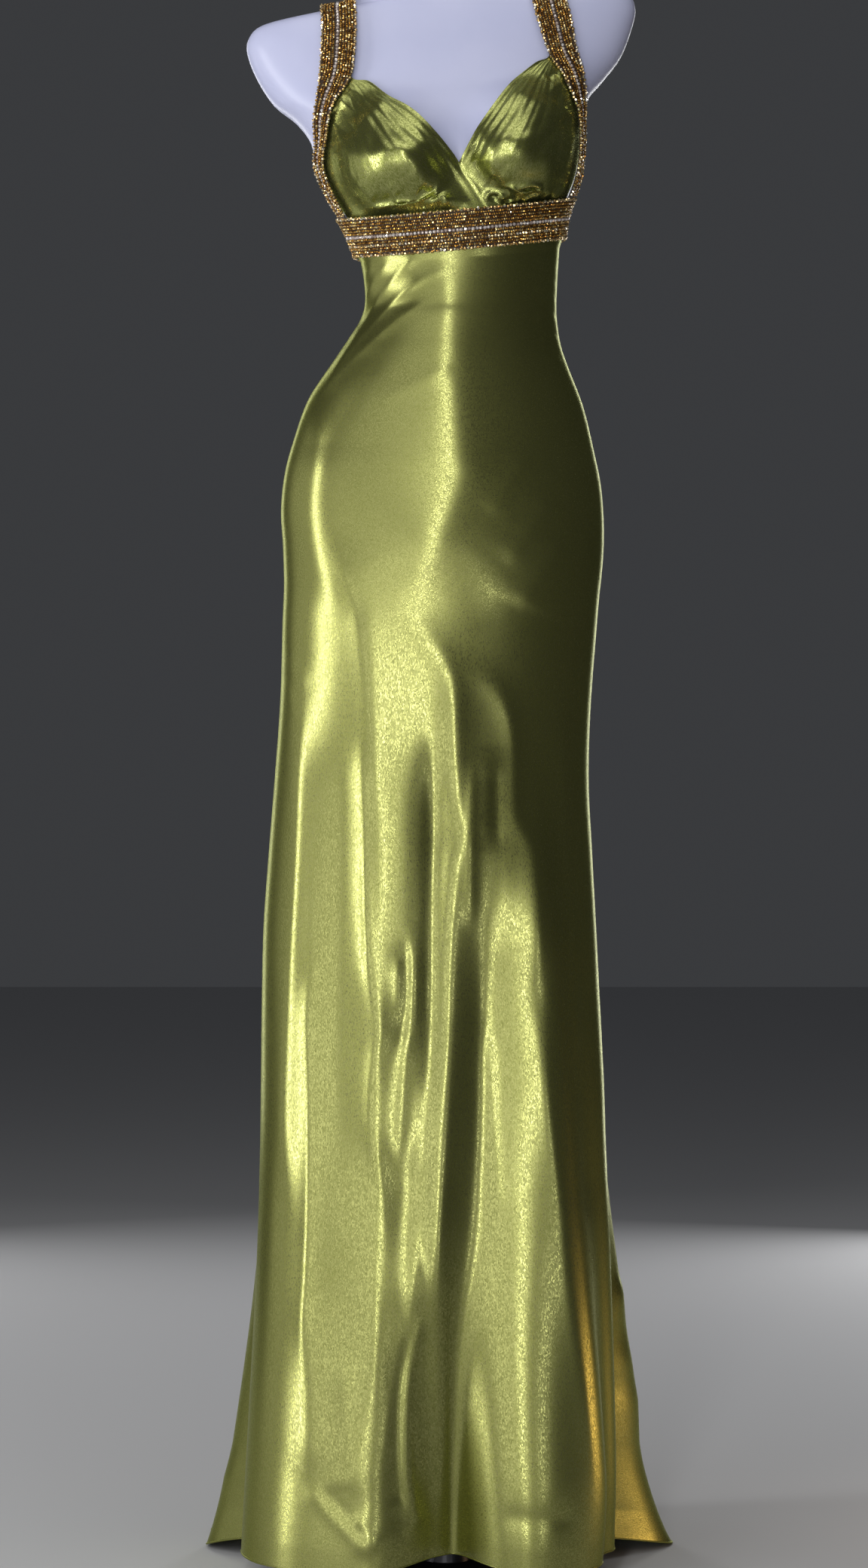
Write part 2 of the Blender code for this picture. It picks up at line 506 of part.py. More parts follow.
def skirt_point(step, angle):
    """A point of the skirt's middle surface on one of its rings, from the seam on the band."""
    if step < 1.0:
        seam_off = BAND_OFF_FORM - BAND_SEAM_GAP - SATIN_WALL / 2
        seam = off_form_at_band(angle, BAND_HEIGHT - BAND_LAP, seam_off)
        return seam.lerp(skirt_point(1.0, angle), step)
    row = smooth_row(SKIRT_RINGS, step)
    point = ring_point(row, angle)
    along = ring_point(row, angle + 0.5) - ring_point(row, angle - 0.5)
    outward = Vector((along.y, -along.x, 0.0)).normalized()
    ahead = math.cos(math.radians(angle))
    point.z -= row[8] * max(ahead, 0.0)
    reach = flute_reach(angle, point.z)
    reach += fold_reach(math.copysign(1, ahead), point.x, point.z) * smoothstep(0.0, 0.3, abs(ahead))
    point += outward * reach
    return keep_clear(point, FORM_GAP + SATIN_WALL / 2)


def front_point(across, down):
    """The front panel, from its right side seam to its left one and from the band to the hem."""
    half_turn = 90.0 - math.degrees(SEAM_GAP / SEAM_RADIUS)
    point = skirt_point(down * (len(SKIRT_RINGS) - 1), -half_turn + 2 * half_turn * across)
    arch_x, arch_half_width, arch_rise = HEM_ARCH
    rise = arch_rise * math.exp(-((point.x - arch_x) / arch_half_width) ** 2)
    point.z += rise * (1 - smoothstep(SKIRT_RINGS[-1][1], FLARE_START_Z, point.z))
    return point


def back_point(across, down):
    """The back panel, from its left side seam round to its right one, and out into the train."""
    half_turn = 90.0 - math.degrees(SEAM_GAP / SEAM_RADIUS)
    from_back = -half_turn + 2 * half_turn * across
    angle = 180.0 + from_back
    rings_below = len(SKIRT_RINGS) - 1 - FLARE_ROW
    place = down * (FLARE_ROW + TRAIN_ROWS)
    if place <= FLARE_ROW:
        return skirt_point(place, angle)
    share = (place - FLARE_ROW) / TRAIN_ROWS
    point = skirt_point(FLARE_ROW + share * rings_below, angle)
    reach = table_value(TRAIN_REACH, from_back)
    hem_z = SKIRT_RINGS[-1][1]
    floor_z = SATIN_WALL / 2 + FLOOR_GAP
    end_z = floor_z + (hem_z - floor_z) * smoothstep(66.0, 88.0, abs(from_back))
    steepness = 1.0 + 6.0 * reach
    point.z = end_z + (FLARE_START_Z - end_z) * (1 - share) ** steepness
    away = Vector((point.x, point.y, 0.0)).normalized()
    point += away * reach * share ** 1.5
    for fold_angle, width, height in TRAIN_FOLDS:
        lift = height * math.exp(-(angle_between(angle, fold_angle) / width) ** 2)
        point.z += lift * math.sin(math.pi * share) * min(reach / 0.1, 1.0)
    return point


# ---------------------------------------------------------------- the cups
def cup_puff(x, z, inside):
    """How far a cup bellies out: level at the band, and that far inside its visible edges."""
    above_band = z - band_top_z(x, form_front_y(x, z))
    rise = smoothstep(0.001, 0.016, above_band) * (1 - smoothstep(0.030, 0.110, above_band))
    return CUP_PUFF * rise * smoothstep(CUP_LEVEL_EDGE, CUP_LEVEL_EDGE + 0.030, inside)


def lap_x(z):
    """Where the upper cup's lapped edge runs at a height."""
    share = (LAP_TOP[1] - z) / (LAP_TOP[1] - LAP_FOOT[1])
    return LAP_TOP[0] + (LAP_FOOT[0] - LAP_TOP[0]) * max(share, 0.0)


def band_z_on_form(x, z):
    """Height of the band's top edge on the form, near (x, z)."""
    for _ in range(3):
        z = band_top_z(x, form_front_y(x, z))
    return z


def cup_off_form(z):
    """From the form to the middle of a cup's wall: more where the chest hollows."""
    return CUP_OFF_FORM + CUP_OFF_CHEST * smoothstep(1.485, 1.525, z)


def cup_place(outer, neck, across, down):
    """The place (x, z) of a cup's point, and the ends of its row.  The last row is the lap."""
    across = across ** CUP_COLUMN_CROWDING
    last_open = (CUP_ROWS - 2) / (CUP_ROWS - 1)
    share = min(down / last_open, 1.0)
    outer_x, outer_z = smooth_row(outer, share * (len(outer) - 1))
    neck_x, neck_z = smooth_row(neck, share * (len(neck) - 1))
    x = outer_x + (neck_x - outer_x) * across
    z = outer_z + (neck_z - outer_z) * across
    foot_x = outer[-1][0] + (neck[-1][0] - outer[-1][0]) * across
    foot_z = outer[-1][1] + (neck[-1][1] - outer[-1][1]) * across
    z += (band_z_on_form(foot_x, foot_z) + 0.001 - foot_z) * share ** 2
    if down > 1.0 - 0.5 / CUP_ROWS:
        z -= BAND_LAP
    return x, z, outer_x, neck_x


def right_cup_point(across, down):
    """The wearer's right cup, which laps over the other one, from the strap to its neckline."""
    x, z, outer_x, neck_x = cup_place(RIGHT_CUP_OUTER, RIGHT_CUP_NECK, across, down)
    off = cup_off_form(z) + CUP_OVERLAP_OFF * smoothstep(-0.058, -0.026, x)
    return off_form_front(x, z, off + cup_puff(x, z, min(neck_x - x, x - outer_x)))


def left_cup_point(across, down):
    """The wearer's left cup, which runs on under the other one."""
    x, z, outer_x, neck_x = cup_place(LEFT_CUP_OUTER, LEFT_CUP_NECK, across, down)
    inside = min(x - max(neck_x, lap_x(z)), outer_x - x)
    return off_form_front(x, z, cup_off_form(z) + cup_puff(x, z, inside))


# ---------------------------------------------------------------- meshes
def add_object(collection, name, mesh, finish):
    """Put a mesh in the model as a named piece with its finish."""
    obj = bpy.data.objects.new(name, mesh)
    collection.objects.link(obj)
    obj.data.materials.append(finish)
    return obj


def sheet(collection, name, columns, rows, place, wall, finish):
    """An open grid laid on a surface by place(across, down), thickened about its middle."""
    mesh = bpy.data.meshes.new(name)
    grid = bmesh.new()
    bmesh.ops.create_grid(grid, x_segments=columns - 1, y_segments=rows - 1, size=0.5)
    for vertex in grid.verts:
        vertex.co = place(vertex.co.x + 0.5, 0.5 - vertex.co.y)
    grid.to_mesh(mesh)
    grid.free()
    obj = add_object(collection, name, mesh, finish)
    mesh.shade_smooth()
    solidify = obj.modifiers.new("wall", "SOLIDIFY")
    solidify.thickness = wall
    solidify.offset = 0.0
    return obj


def loft(rings):
    """A closed body through equal rings of points, capped at both ends."""
    body = bmesh.new()
    loops = [[body.verts.new(point) for point in ring] for ring in rings]
    count = len(loops[0])
    for lower, upper in zip(loops, loops[1:]):
        for i in range(count):
            j = (i + 1) % count
            body.faces.new((lower[i], lower[j], upper[j], upper[i]))
    body.faces.new(list(reversed(loops[0])))
    body.faces.new(loops[-1])
    if body.calc_volume(signed=True) < 0:
        bmesh.ops.reverse_faces(body, faces=body.faces)
    body.normal_update()
    return body


def build_form(collection, finish):
    """The torso, from the thigh ends up to the cut of the neck."""
    turns = [-90.0 + 180.0 * i / FORM_FRONT_COLUMNS for i in range(FORM_FRONT_COLUMNS)]
    turns += [90.0 + 180.0 * i / FORM_BACK_COLUMNS for i in range(FORM_BACK_COLUMNS)]
    steps = {0, 1, 2} | set(range(3, 13, 2)) | set(range(13, len(FORM_RINGS)))
    steps = sorted(steps | {i / 2 for i in range(*CHEST_HALF_STEPS)})
    body = loft([[form_point(step, turn) for turn in turns] for step in steps])
    mesh = bpy.data.meshes.new("form_torso")
    body.to_mesh(mesh)
    surface = BVHTree.FromBMesh(body)
    body.free()
    mesh.shade_smooth()
    mesh.set_sharp_from_angle(angle=math.radians(50))
    add_object(collection, "form_torso", mesh, finish)
    return surface


def build_band(collection, name, start, finish):
    """Half the band, from one side seam to the other, on the form's own curve."""
    half_gap = math.degrees(SEAM_GAP / 2 / 0.11)
    rings = []
    for column in range(BAND_COLUMNS + 1):
        angle = start + half_gap + (180.0 - 2 * half_gap) * column / BAND_COLUMNS
        outer = BAND_OFF_FORM + TRIM_WALL
        rings.append([off_form_at_band(angle, 0.0, BAND_OFF_FORM),
                      off_form_at_band(angle, 0.0, outer),
                      off_form_at_band(angle, BAND_HEIGHT, outer),
                      off_form_at_band(angle, BAND_HEIGHT, BAND_OFF_FORM)])
    body = loft(rings)
    mesh = bpy.data.meshes.new(name)
    body.to_mesh(mesh)
    body.free()
    add_object(collection, name, mesh, finish)


def strap_rows(path, over_cup):
    """Middle line, direction and width of a strap at each of its steps, and its stand-off."""
    rows = []
    for i in range(STRAP_STEPS + 1):
        share = i / STRAP_STEPS
        step = share * (len(path) - 1)
        x, y, z, width = smooth_row(path, step)
        ahead = Vector(smooth_row(path, min(step + 0.2, len(path) - 1))[:3])
        behind = Vector(smooth_row(path, max(step - 0.2, 0.0))[:3])
        low = STRAP_OFF_CUP if over_cup else STRAP_OFF_SHOULDER
        off = STRAP_OFF_SHOULDER + (low - STRAP_OFF_SHOULDER) * smoothstep(0.15, 0.40, share)
        off += (BAND_OFF_FORM - low) * smoothstep(0.80, 0.97, share)
        rows.append((Vector((x, y, z)), (ahead - behind).normalized(), width, off))
    return rows


def build_strap(collection, name, path, over_cup, surface, finish):
    """A strap lying on the form, from the shoulder seam down to the band's top edge."""
    rows = strap_rows(path, over_cup)
    on_form = {}
    for i, (middle, direction, width, _) in enumerate(rows):
        _, normal, _, _ = surface.find_nearest(middle)
        side = direction.cross(normal).normalized()
        if i == 0:
            side = Vector((math.copysign(1.0, side.x), 0.0, 0.0))
        for j in range(STRAP_COLUMNS):
            aside = width * (j / (STRAP_COLUMNS - 1) - 0.5)
            on_form[i, j] = surface.find_nearest(middle + side * aside)[0]

    rings = []
    for i, (_, _, _, off) in enumerate(rows):
        inner, outer = [], []
        for j in range(STRAP_COLUMNS):
            outward = strap_outward(on_form, surface, i, j)
            inner.append(on_form[i, j] + outward * off)
            outer.append(on_form[i, j] + outward * (off + TRIM_WALL))
        for edge in (inner, outer):
            for j, point in enumerate(edge):
                if i == 0:
                    away = math.copysign(SEAM_GAP / 2, path[1][1] - SHOULDER_SEAM_Y)
                    point.y = SHOULDER_SEAM_Y + away
                if i == STRAP_STEPS:
                    point.z = band_top_z(*on_form[i, j].xy) + STRAP_END_GAP
        rings.append(inner + list(reversed(outer)))
    body = loft(rings)
    mesh = bpy.data.meshes.new(name)
    body.to_mesh(mesh)
    body.free()
    add_object(collection, name, mesh, finish)


def strap_outward(on_form, surface, i, j):
    """The direction straight out of a strap at a grid point, averaged with its neighbours."""
    outward = Vector((0.0, 0.0, 0.0))
    for near_i in range(max(i - 1, 0), min(i + 1, STRAP_STEPS) + 1):
        for near_j in range(max(j - 1, 0), min(j + 1, STRAP_COLUMNS - 1) + 1):
            outward += surface.find_nearest(on_form[near_i, near_j])[1]
    return outward.normalized()


def turned(collection, name, profile, finish):
    """A turned piece from its profile (radius, z), listed from the top down."""
    mesh = bpy.data.meshes.new(name)
    edges = [(i, i + 1) for i in range(len(profile) - 1)]
    mesh.from_pydata([(radius, 0.0, z) for radius, z in profile], edges, [])
    obj = add_object(collection, name, mesh, finish)
    screw = obj.modifiers.new("turn", "SCREW")
    screw.steps = screw.render_steps = 32
    screw.use_merge_vertices = True
    screw.merge_threshold = 0.00001
    return obj


def build_stand(collection, finish):
    """A round foot plate with a collar, and the pole with the flange that carries the form."""
    chamfer = 0.0015
    turned(collection, "stand_foot", (
        (0.0, FOOT_COLLAR_HEIGHT), (FOOT_COLLAR_RADIUS - chamfer, FOOT_COLLAR_HEIGHT),
        (FOOT_COLLAR_RADIUS, FOOT_COLLAR_HEIGHT - chamfer), (FOOT_COLLAR_RADIUS, FOOT_THICKNESS),
        (FOOT_RADIUS - chamfer, FOOT_THICKNESS), (FOOT_RADIUS, FOOT_THICKNESS - chamfer),
        (FOOT_RADIUS, 0.0), (0.0, 0.0)), finish)
    flange_top = FORM_RINGS[0][1] - SEAM_GAP
    flange_foot = flange_top - FLANGE_THICKNESS
    pole_foot = FOOT_COLLAR_HEIGHT + SEAM_GAP
    turned(collection, "stand_pole", (
        (0.0, flange_top), (FLANGE_RADIUS, flange_top), (FLANGE_RADIUS, flange_foot),
        (POLE_RADIUS, flange_foot), (POLE_RADIUS, pole_foot), (0.0, pole_foot)), finish)


def finish_material(name):
    """A plain Principled material from the table of finishes."""
    colour, roughness, metallic = FINISHES[name]
    material = bpy.data.materials.new(name)
    material.use_nodes = True
    shader = material.node_tree.nodes["Principled BSDF"]
    shader.inputs["Base Color"].default_value = colour
    shader.inputs["Roughness"].default_value = roughness
    shader.inputs["Metallic"].default_value = metallic
    material.diffuse_color = colour
    return material


def build():
    """Clear the scene, then build the stand, the form and the gown from the inside out."""
    for obj in list(bpy.data.objects):
        bpy.data.objects.remove(obj, do_unlink=True)
    model = bpy.data.collections.new(MODEL_NAME)
    bpy.context.scene.collection.children.link(model)
    satin = finish_material("satin")
    trim = finish_material("bead_trim")
    metal = finish_material("dark_metal")

    build_stand(model, metal)
    surface = build_form(model, finish_material("form_skin"))
    sheet(model, "skirt_front", FRONT_COLUMNS, len(SKIRT_RINGS), front_point, SATIN_WALL, satin)
    sheet(model, "skirt_back", BACK_COLUMNS, FLARE_ROW + TRAIN_ROWS + 1, back_point,
          SATIN_WALL, satin)
    sheet(model, "cup_left", CUP_COLUMNS, CUP_ROWS, left_cup_point, SATIN_WALL, satin)
    sheet(model, "cup_right", CUP_COLUMNS, CUP_ROWS, right_cup_point, SATIN_WALL, satin)
    build_band(model, "band_front", -90.0, trim)
    build_band(model, "band_back", 90.0, trim)
    build_strap(model, "strap_front_right", RIGHT_STRAP_FRONT, True, surface, trim)
    build_strap(model, "strap_front_left", LEFT_STRAP_FRONT, True, surface, trim)
    build_strap(model, "strap_back_right", RIGHT_STRAP_BACK, False, surface, trim)
    build_strap(model, "strap_back_left", LEFT_STRAP_BACK, False, surface, trim)


build()
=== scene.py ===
"""Evening gown on its dress form: satin panels with their folds, beaded trim, form and stand.

Metres, +Z up, the front faces -Y.  The wearer's right side lies at -X.  Angles round the body
are degrees from the front middle, positive towards the wearer's left.
"""

import sys

import logging
import math
from dataclasses import dataclass, field
from enum import Enum
from typing import Callable, Sequence

import bmesh
import bpy
import numpy as np
from mathutils import Matrix, Vector
from mathutils.bvhtree import BVHTree


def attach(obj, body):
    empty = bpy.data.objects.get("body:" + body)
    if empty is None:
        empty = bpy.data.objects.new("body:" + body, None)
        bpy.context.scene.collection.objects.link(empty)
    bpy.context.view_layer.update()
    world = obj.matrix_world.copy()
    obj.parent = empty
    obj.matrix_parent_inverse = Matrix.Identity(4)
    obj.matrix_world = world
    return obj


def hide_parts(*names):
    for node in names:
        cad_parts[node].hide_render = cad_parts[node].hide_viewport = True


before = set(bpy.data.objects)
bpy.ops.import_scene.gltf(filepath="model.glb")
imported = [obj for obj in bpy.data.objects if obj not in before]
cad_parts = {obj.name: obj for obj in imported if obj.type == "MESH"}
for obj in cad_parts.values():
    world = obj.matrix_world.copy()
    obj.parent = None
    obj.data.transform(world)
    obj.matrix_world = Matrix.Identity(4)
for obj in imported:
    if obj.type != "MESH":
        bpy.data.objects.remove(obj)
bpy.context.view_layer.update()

LOG = logging.getLogger("gown")
Array = np.ndarray
Pair = tuple[float, float]
Place = Callable[[Array, Array], Array]
Mesh = bpy.types.Mesh
Piece = bpy.types.Object
Material = bpy.types.Material

# ---------------------------------------------------------------- sizes of the sewn pieces
SEAM_GAP = 0.0003           # between two pieces that are sewn to each other
BAND_SEAM_GAP = 0.0005      # from the band's inner face to the satin sewn into it
SATIN_WALL = 0.0016         # the panels' solids
SATIN_SHELL = 0.0009        # the panels here
FORM_GAP = 0.0010
FLOOR_GAP = 0.0003
SEAM_RADIUS = 0.17

BAND_HEIGHT = 0.041
BAND_MIDDLE_Z = 1.4044
BAND_SLOPE = 0.0958
BAND_FRONT_DIP = 0.167
BAND_LAP = 0.006
BAND_OFF_FORM = 0.0068
BUST_RINGS = (16.0, 24.0)   # the form's rings between which the band lies
SKIRTED_RINGS = 20

CUP_OFF_FORM = 0.0023
CUP_OFF_CHEST = 0.0016
CUP_OVERLAP_OFF = 0.0032
CUP_PUFF = 0.010
CUP_LEVEL_EDGE = 0.011
CUP_COLUMN_CROWDING = 1.45
LAP_TOP = (0.0115, 1.4440)
LAP_FOOT = (0.0450, 1.3860)

STRAP_OFF_SHOULDER = 0.0038
STRAP_OFF_CUP = 0.0056
STRAP_END_GAP = 0.0008
SHOULDER_SEAM_Y = 0.024
FOLD_TAPER = 0.22           # the share of a fold's length over which each end runs out
FOLD_CREST = 0.38           # the radius along the top of a ridge, as a share of its width
HOLLOW_CREST = 0.9          # the same along the foot of a hollow
FOLD_EDGE = 5.0             # how far a fold is felt, in widths
FOLD_STEPS = 7              # stretches of a fold's line to each of its points

BUST_FULL_AHEAD = 0.5       # the cosine of the angle inside which the bust stands out in full
SIDE_LIMIT = 0.985          # how near the side a place on the form's front may lie, as a share
LEVEL_RISE = 0.030          # below this height over the band, the way out of the form turns level
FORM_HALVINGS = 26          # steps of the search for the ring through a place
BAND_HALVINGS = 24          # the same for the ring at the band
SATIN_SHARP = math.radians(70)
NET_SHARP = math.radians(60)
FORM_SHARP = math.radians(50)
STAND_SHARP = math.radians(35)
WELD = 0.00001              # corners nearer than this are one

# ---------------------------------------------------------------- rings
# One row a ring: left end (x, z), right end (x, z), depth line (y), reach in front of and behind
# it, and how square it is (2 is an ellipse).
FORM_RINGS = (
    (-0.1200, 0.7000, 0.1000, 0.7000, 0.004, 0.0800, 0.0860, 2.3),
    (-0.1430, 0.7120, 0.1230, 0.7110, 0.004, 0.0980, 0.1040, 2.3),
    (-0.1540, 0.7500, 0.1340, 0.7460, 0.004, 0.1050, 0.1130, 2.3),
    (-0.1600, 0.8000, 0.1400, 0.7930, 0.004, 0.1070, 0.1180, 2.3),
    (-0.1640, 0.8570, 0.1435, 0.8480, 0.005, 0.1075, 0.1230, 2.2),
    (-0.1660, 0.8980, 0.1455, 0.8880, 0.006, 0.1075, 0.1260, 2.2),
    (-0.1665, 0.9370, 0.1490, 0.9270, 0.006, 0.1070, 0.1280, 2.2),
    (-0.1658, 0.9760, 0.1517, 0.9650, 0.006, 0.1065, 0.1280, 2.2),
    (-0.1642, 1.0150, 0.1548, 1.0020, 0.005, 0.1055, 0.1250, 2.2),
    (-0.1652, 1.0560, 0.1586, 1.0390, 0.004, 0.1040, 0.1210, 2.2),
    (-0.1673, 1.0930, 0.1596, 1.0760, 0.003, 0.1015, 0.1150, 2.2),
    (-0.1632, 1.1310, 0.1568, 1.1160, 0.002, 0.0980, 0.1070, 2.2),
    (-0.1541, 1.1650, 0.1498, 1.1520, 0.001, 0.0945, 0.0990, 2.1),
    (-0.1385, 1.2080, 0.1382, 1.2000, 0.000, 0.0900, 0.0910, 2.1),
    (-0.1119, 1.2470, 0.1220, 1.2420, 0.000, 0.0860, 0.0840, 2.1),
    (-0.0985, 1.2660, 0.1148, 1.2640, 0.000, 0.0840, 0.0810, 2.1),
    (-0.0852, 1.2870, 0.1112, 1.2870, 0.000, 0.0820, 0.0785, 2.1),
    (-0.0800, 1.3050, 0.1104, 1.3040, 0.000, 0.0810, 0.0775, 2.1),
    (-0.0805, 1.3260, 0.1115, 1.3300, 0.000, 0.0815, 0.0775, 2.1),
    (-0.0850, 1.3500, 0.1140, 1.3640, 0.000, 0.0830, 0.0790, 2.1),
    (-0.0960, 1.3780, 0.1192, 1.3980, 0.000, 0.0840, 0.0820, 2.1),
    (-0.1080, 1.4000, 0.1280, 1.4220, 0.001, 0.0860, 0.0860, 2.1),
    (-0.1210, 1.4200, 0.1345, 1.4420, 0.003, 0.0890, 0.0920, 2.1),
    (-0.1345, 1.4450, 0.1380, 1.4660, 0.006, 0.0890, 0.0950, 2.1),
    (-0.1400, 1.4740, 0.1400, 1.5000, 0.010, 0.0860, 0.0960, 2.1),
    (-0.1560, 1.4960, 0.1480, 1.5220, 0.014, 0.0800, 0.0920, 2.1),
    (-0.1790, 1.5150, 0.1630, 1.5400, 0.018, 0.0720, 0.0860, 2.1),
    (-0.1970, 1.5430, 0.1820, 1.5660, 0.022, 0.0630, 0.0760, 2.2),
    (-0.2070, 1.5700, 0.1940, 1.5980, 0.025, 0.0560, 0.0640, 2.3),
    (-0.2050, 1.5860, 0.1970, 1.6180, 0.026, 0.0510, 0.0560, 2.3),
    (-0.1930, 1.5980, 0.1880, 1.6340, 0.027, 0.0470, 0.0500, 2.2),
    (-0.1600, 1.6060, 0.1560, 1.6440, 0.028, 0.0450, 0.0470, 2.1),
    (-0.1230, 1.6110, 0.1080, 1.6480, 0.028, 0.0460, 0.0470, 2.0),
    (-0.1010, 1.6200, 0.0600, 1.6560, 0.027, 0.0500, 0.0490, 2.0),
    (-0.0900, 1.6370, 0.0320, 1.6700, 0.025, 0.0520, 0.0510, 2.0),
    (-0.0885, 1.6650, 0.0230, 1.6900, 0.022, 0.0520, 0.0510, 2.0),
    (-0.0900, 1.7080, 0.0200, 1.7260, 0.018, 0.0520, 0.0510, 2.0),
    (-0.0870, 1.7180, 0.0160, 1.7350, 0.017, 0.0480, 0.0470, 2.0),
)

# The two rounded mounds of the bust: x, z, height, and spread across, below and above.
BUST_MOUNDS = (
    (-0.0560, 1.4460, 0.036, 0.074, 0.054, 0.090),
    (0.0780, 1.4600, 0.036, 0.074, 0.056, 0.090),
)

# The skirt's rings, to the middle of its wall, with how far each sinks at the front.
SKIRT_RINGS = (
    (-0.0902, 1.3600, 0.1186, 1.3810, 0.000, 0.0856, 0.0830, 2.1, 0.0140),
    (-0.0878, 1.3500, 0.1168, 1.3640, 0.000, 0.0850, 0.0816, 2.1, 0.0140),
    (-0.0840, 1.3260, 0.1146, 1.3300, 0.000, 0.0845, 0.0806, 2.1, 0.0100),
    (-0.0832, 1.3050, 0.1136, 1.3040, 0.000, 0.0842, 0.0806, 2.1, 0.0050),
    (-0.0888, 1.2870, 0.1144, 1.2870, 0.000, 0.0855, 0.0818, 2.1, 0.0000),
    (-0.1020, 1.2660, 0.1180, 1.2640, 0.000, 0.0875, 0.0842, 2.1, 0.0000),
    (-0.1152, 1.2470, 0.1252, 1.2420, 0.000, 0.0900, 0.0875, 2.1, 0.0000),
    (-0.1416, 1.2080, 0.1413, 1.2000, 0.000, 0.0940, 0.0950, 2.1, 0.0000),
    (-0.1572, 1.1650, 0.1530, 1.1520, 0.001, 0.0985, 0.1035, 2.1, 0.0000),
    (-0.1664, 1.1310, 0.1600, 1.1160, 0.002, 0.1025, 0.1115, 2.2, 0.0000),
    (-0.1704, 1.0930, 0.1628, 1.0760, 0.003, 0.1065, 0.1200, 2.2, 0.0000),
    (-0.1684, 1.0560, 0.1618, 1.0390, 0.004, 0.1095, 0.1265, 2.2, 0.0000),
    (-0.1674, 1.0150, 0.1580, 1.0020, 0.005, 0.1115, 0.1310, 2.2, 0.0000),
    (-0.1690, 0.9760, 0.1550, 0.9650, 0.006, 0.1130, 0.1340, 2.2, 0.0000),
    (-0.1712, 0.8980, 0.1492, 0.8880, 0.006, 0.1155, 0.1370, 2.2, 0.0000),
    (-0.1768, 0.8180, 0.1472, 0.8130, 0.005, 0.1190, 0.1410, 2.2, 0.0000),
    (-0.1830, 0.7400, 0.1508, 0.7370, 0.004, 0.1230, 0.1450, 2.2, 0.0000),
    (-0.1884, 0.6620, 0.1548, 0.6600, 0.004, 0.1280, 0.1500, 2.2, 0.0000),
    (-0.1900, 0.5840, 0.1588, 0.5830, 0.004, 0.1330, 0.1560, 2.2, 0.0000),
    (-0.1906, 0.5060, 0.1626, 0.5060, 0.004, 0.1390, 0.1630, 2.2, 0.0000),
    (-0.1914, 0.4280, 0.1650, 0.4280, 0.004, 0.1450, 0.1710, 2.2, 0.0000),
    (-0.1940, 0.3500, 0.1690, 0.3500, 0.004, 0.1520, 0.1800, 2.2, 0.0000),
    (-0.1975, 0.2720, 0.1725, 0.2720, 0.004, 0.1590, 0.1900, 2.2, 0.0000),
    (-0.2015, 0.1940, 0.1760, 0.1940, 0.004, 0.1660, 0.2010, 2.2, 0.0000),
    (-0.2055, 0.1160, 0.1800, 0.1160, 0.004, 0.1730, 0.2140, 2.2, 0.0000),
    (-0.2080, 0.0640, 0.1825, 0.0640, 0.004, 0.1775, 0.2240, 2.2, 0.0000),
    (-0.2100, 0.0260, 0.1840, 0.0260, 0.004, 0.1800, 0.2330, 2.2, 0.0000),
)

FLARE_ROW = 24              # below this ring the back runs out into the train
HEM_ARCH = (0.004, 0.052, 0.011)     # x, half width and height of the lift in the front hem

# Flutes: angle at the top and at the hem, half width at both, the heights where a flute
# starts and is full, and its reach at the hem.
FLUTES = (
    (-52.0, -50.0, 24.0, 26.0, 0.75, 0.05, 0.016),
    (-5.0, 2.0, 9.0, 11.5, 0.62, 0.02, -0.070),
    (24.0, 31.0, 14.0, 20.0, 0.85, 0.05, 0.020),
    (62.0, 66.0, 10.0, 12.0, 0.55, 0.05, -0.018),
    (-92.0, -92.0, 8.0, 9.0, 0.42, 0.05, -0.026),
    (94.0, 94.0, 9.0, 11.0, 0.42, 0.05, -0.034),
    (-112.0, -112.0, 14.0, 15.0, 0.48, 0.08, 0.036),
    (112.0, 113.0, 14.0, 15.0, 0.52, 0.16, 0.041),
    (-134.0, -134.0, 9.0, 10.0, 0.60, 0.05, -0.030),
    (137.0, 137.0, 9.0, 10.0, 0.60, 0.05, -0.034),
    (-156.0, -156.0, 12.0, 13.0, 0.66, 0.05, 0.030),
    (158.0, 158.0, 12.0, 13.0, 0.66, 0.05, 0.026),
    (180.0, 181.0, 9.0, 9.0, 0.60, 0.05, -0.026),
)

# The train's reach at each angle from the middle back, and the folds that stand on it
# (angle, half width, height).
TRAIN_REACH = (
    (-90.0, 0.000),
    (-65.0, 0.040),
    (-46.0, 0.136),
    (-22.0, 0.185),
    (0.0, 0.185),
    (24.0, 0.170),
    (49.0, 0.126),
    (65.0, 0.026),
    (90.0, 0.000),
)
TRAIN_FOLDS = (
    (-156.0, 9.0, 0.016),
    (-112.0, 10.0, 0.014),
    (158.0, 9.0, 0.018),
    (113.0, 10.0, 0.016),
)

# ---------------------------------------------------------------- cups and straps
# Points (x, z) of a cup's two long edges, from the strap down to the band.
RIGHT_CUP_OUTER = (
    (-0.1090, 1.5470), (-0.1130, 1.5320), (-0.1180, 1.5160), (-0.1240, 1.4976), (-0.1250, 1.4730),
    (-0.1245, 1.4476), (-0.1180, 1.4180), (-0.1035, 1.3960), (-0.0985, 1.3880),
)
RIGHT_CUP_NECK = (
    (-0.0985, 1.5480), (-0.0945, 1.5305), (-0.0780, 1.5262), (-0.0600, 1.5090), (-0.0400, 1.4940),
    (-0.0215, 1.4750), (-0.0010, 1.4520), (0.0205, 1.4270), (0.0405, 1.3940),
)
LEFT_CUP_OUTER = (
    (0.1145, 1.5740), (0.1175, 1.5590), (0.1220, 1.5460), (0.1300, 1.5260), (0.1362, 1.5080),
    (0.1372, 1.4855), (0.1357, 1.4630), (0.1302, 1.4340), (0.1213, 1.4100),
)
LEFT_CUP_NECK = (
    (0.1080, 1.5740), (0.1040, 1.5550), (0.0900, 1.5470), (0.0670, 1.5230), (0.0500, 1.4990),
    (0.0345, 1.4760), (0.0140, 1.4420), (0.0000, 1.4230), (-0.0190, 1.3900),
)

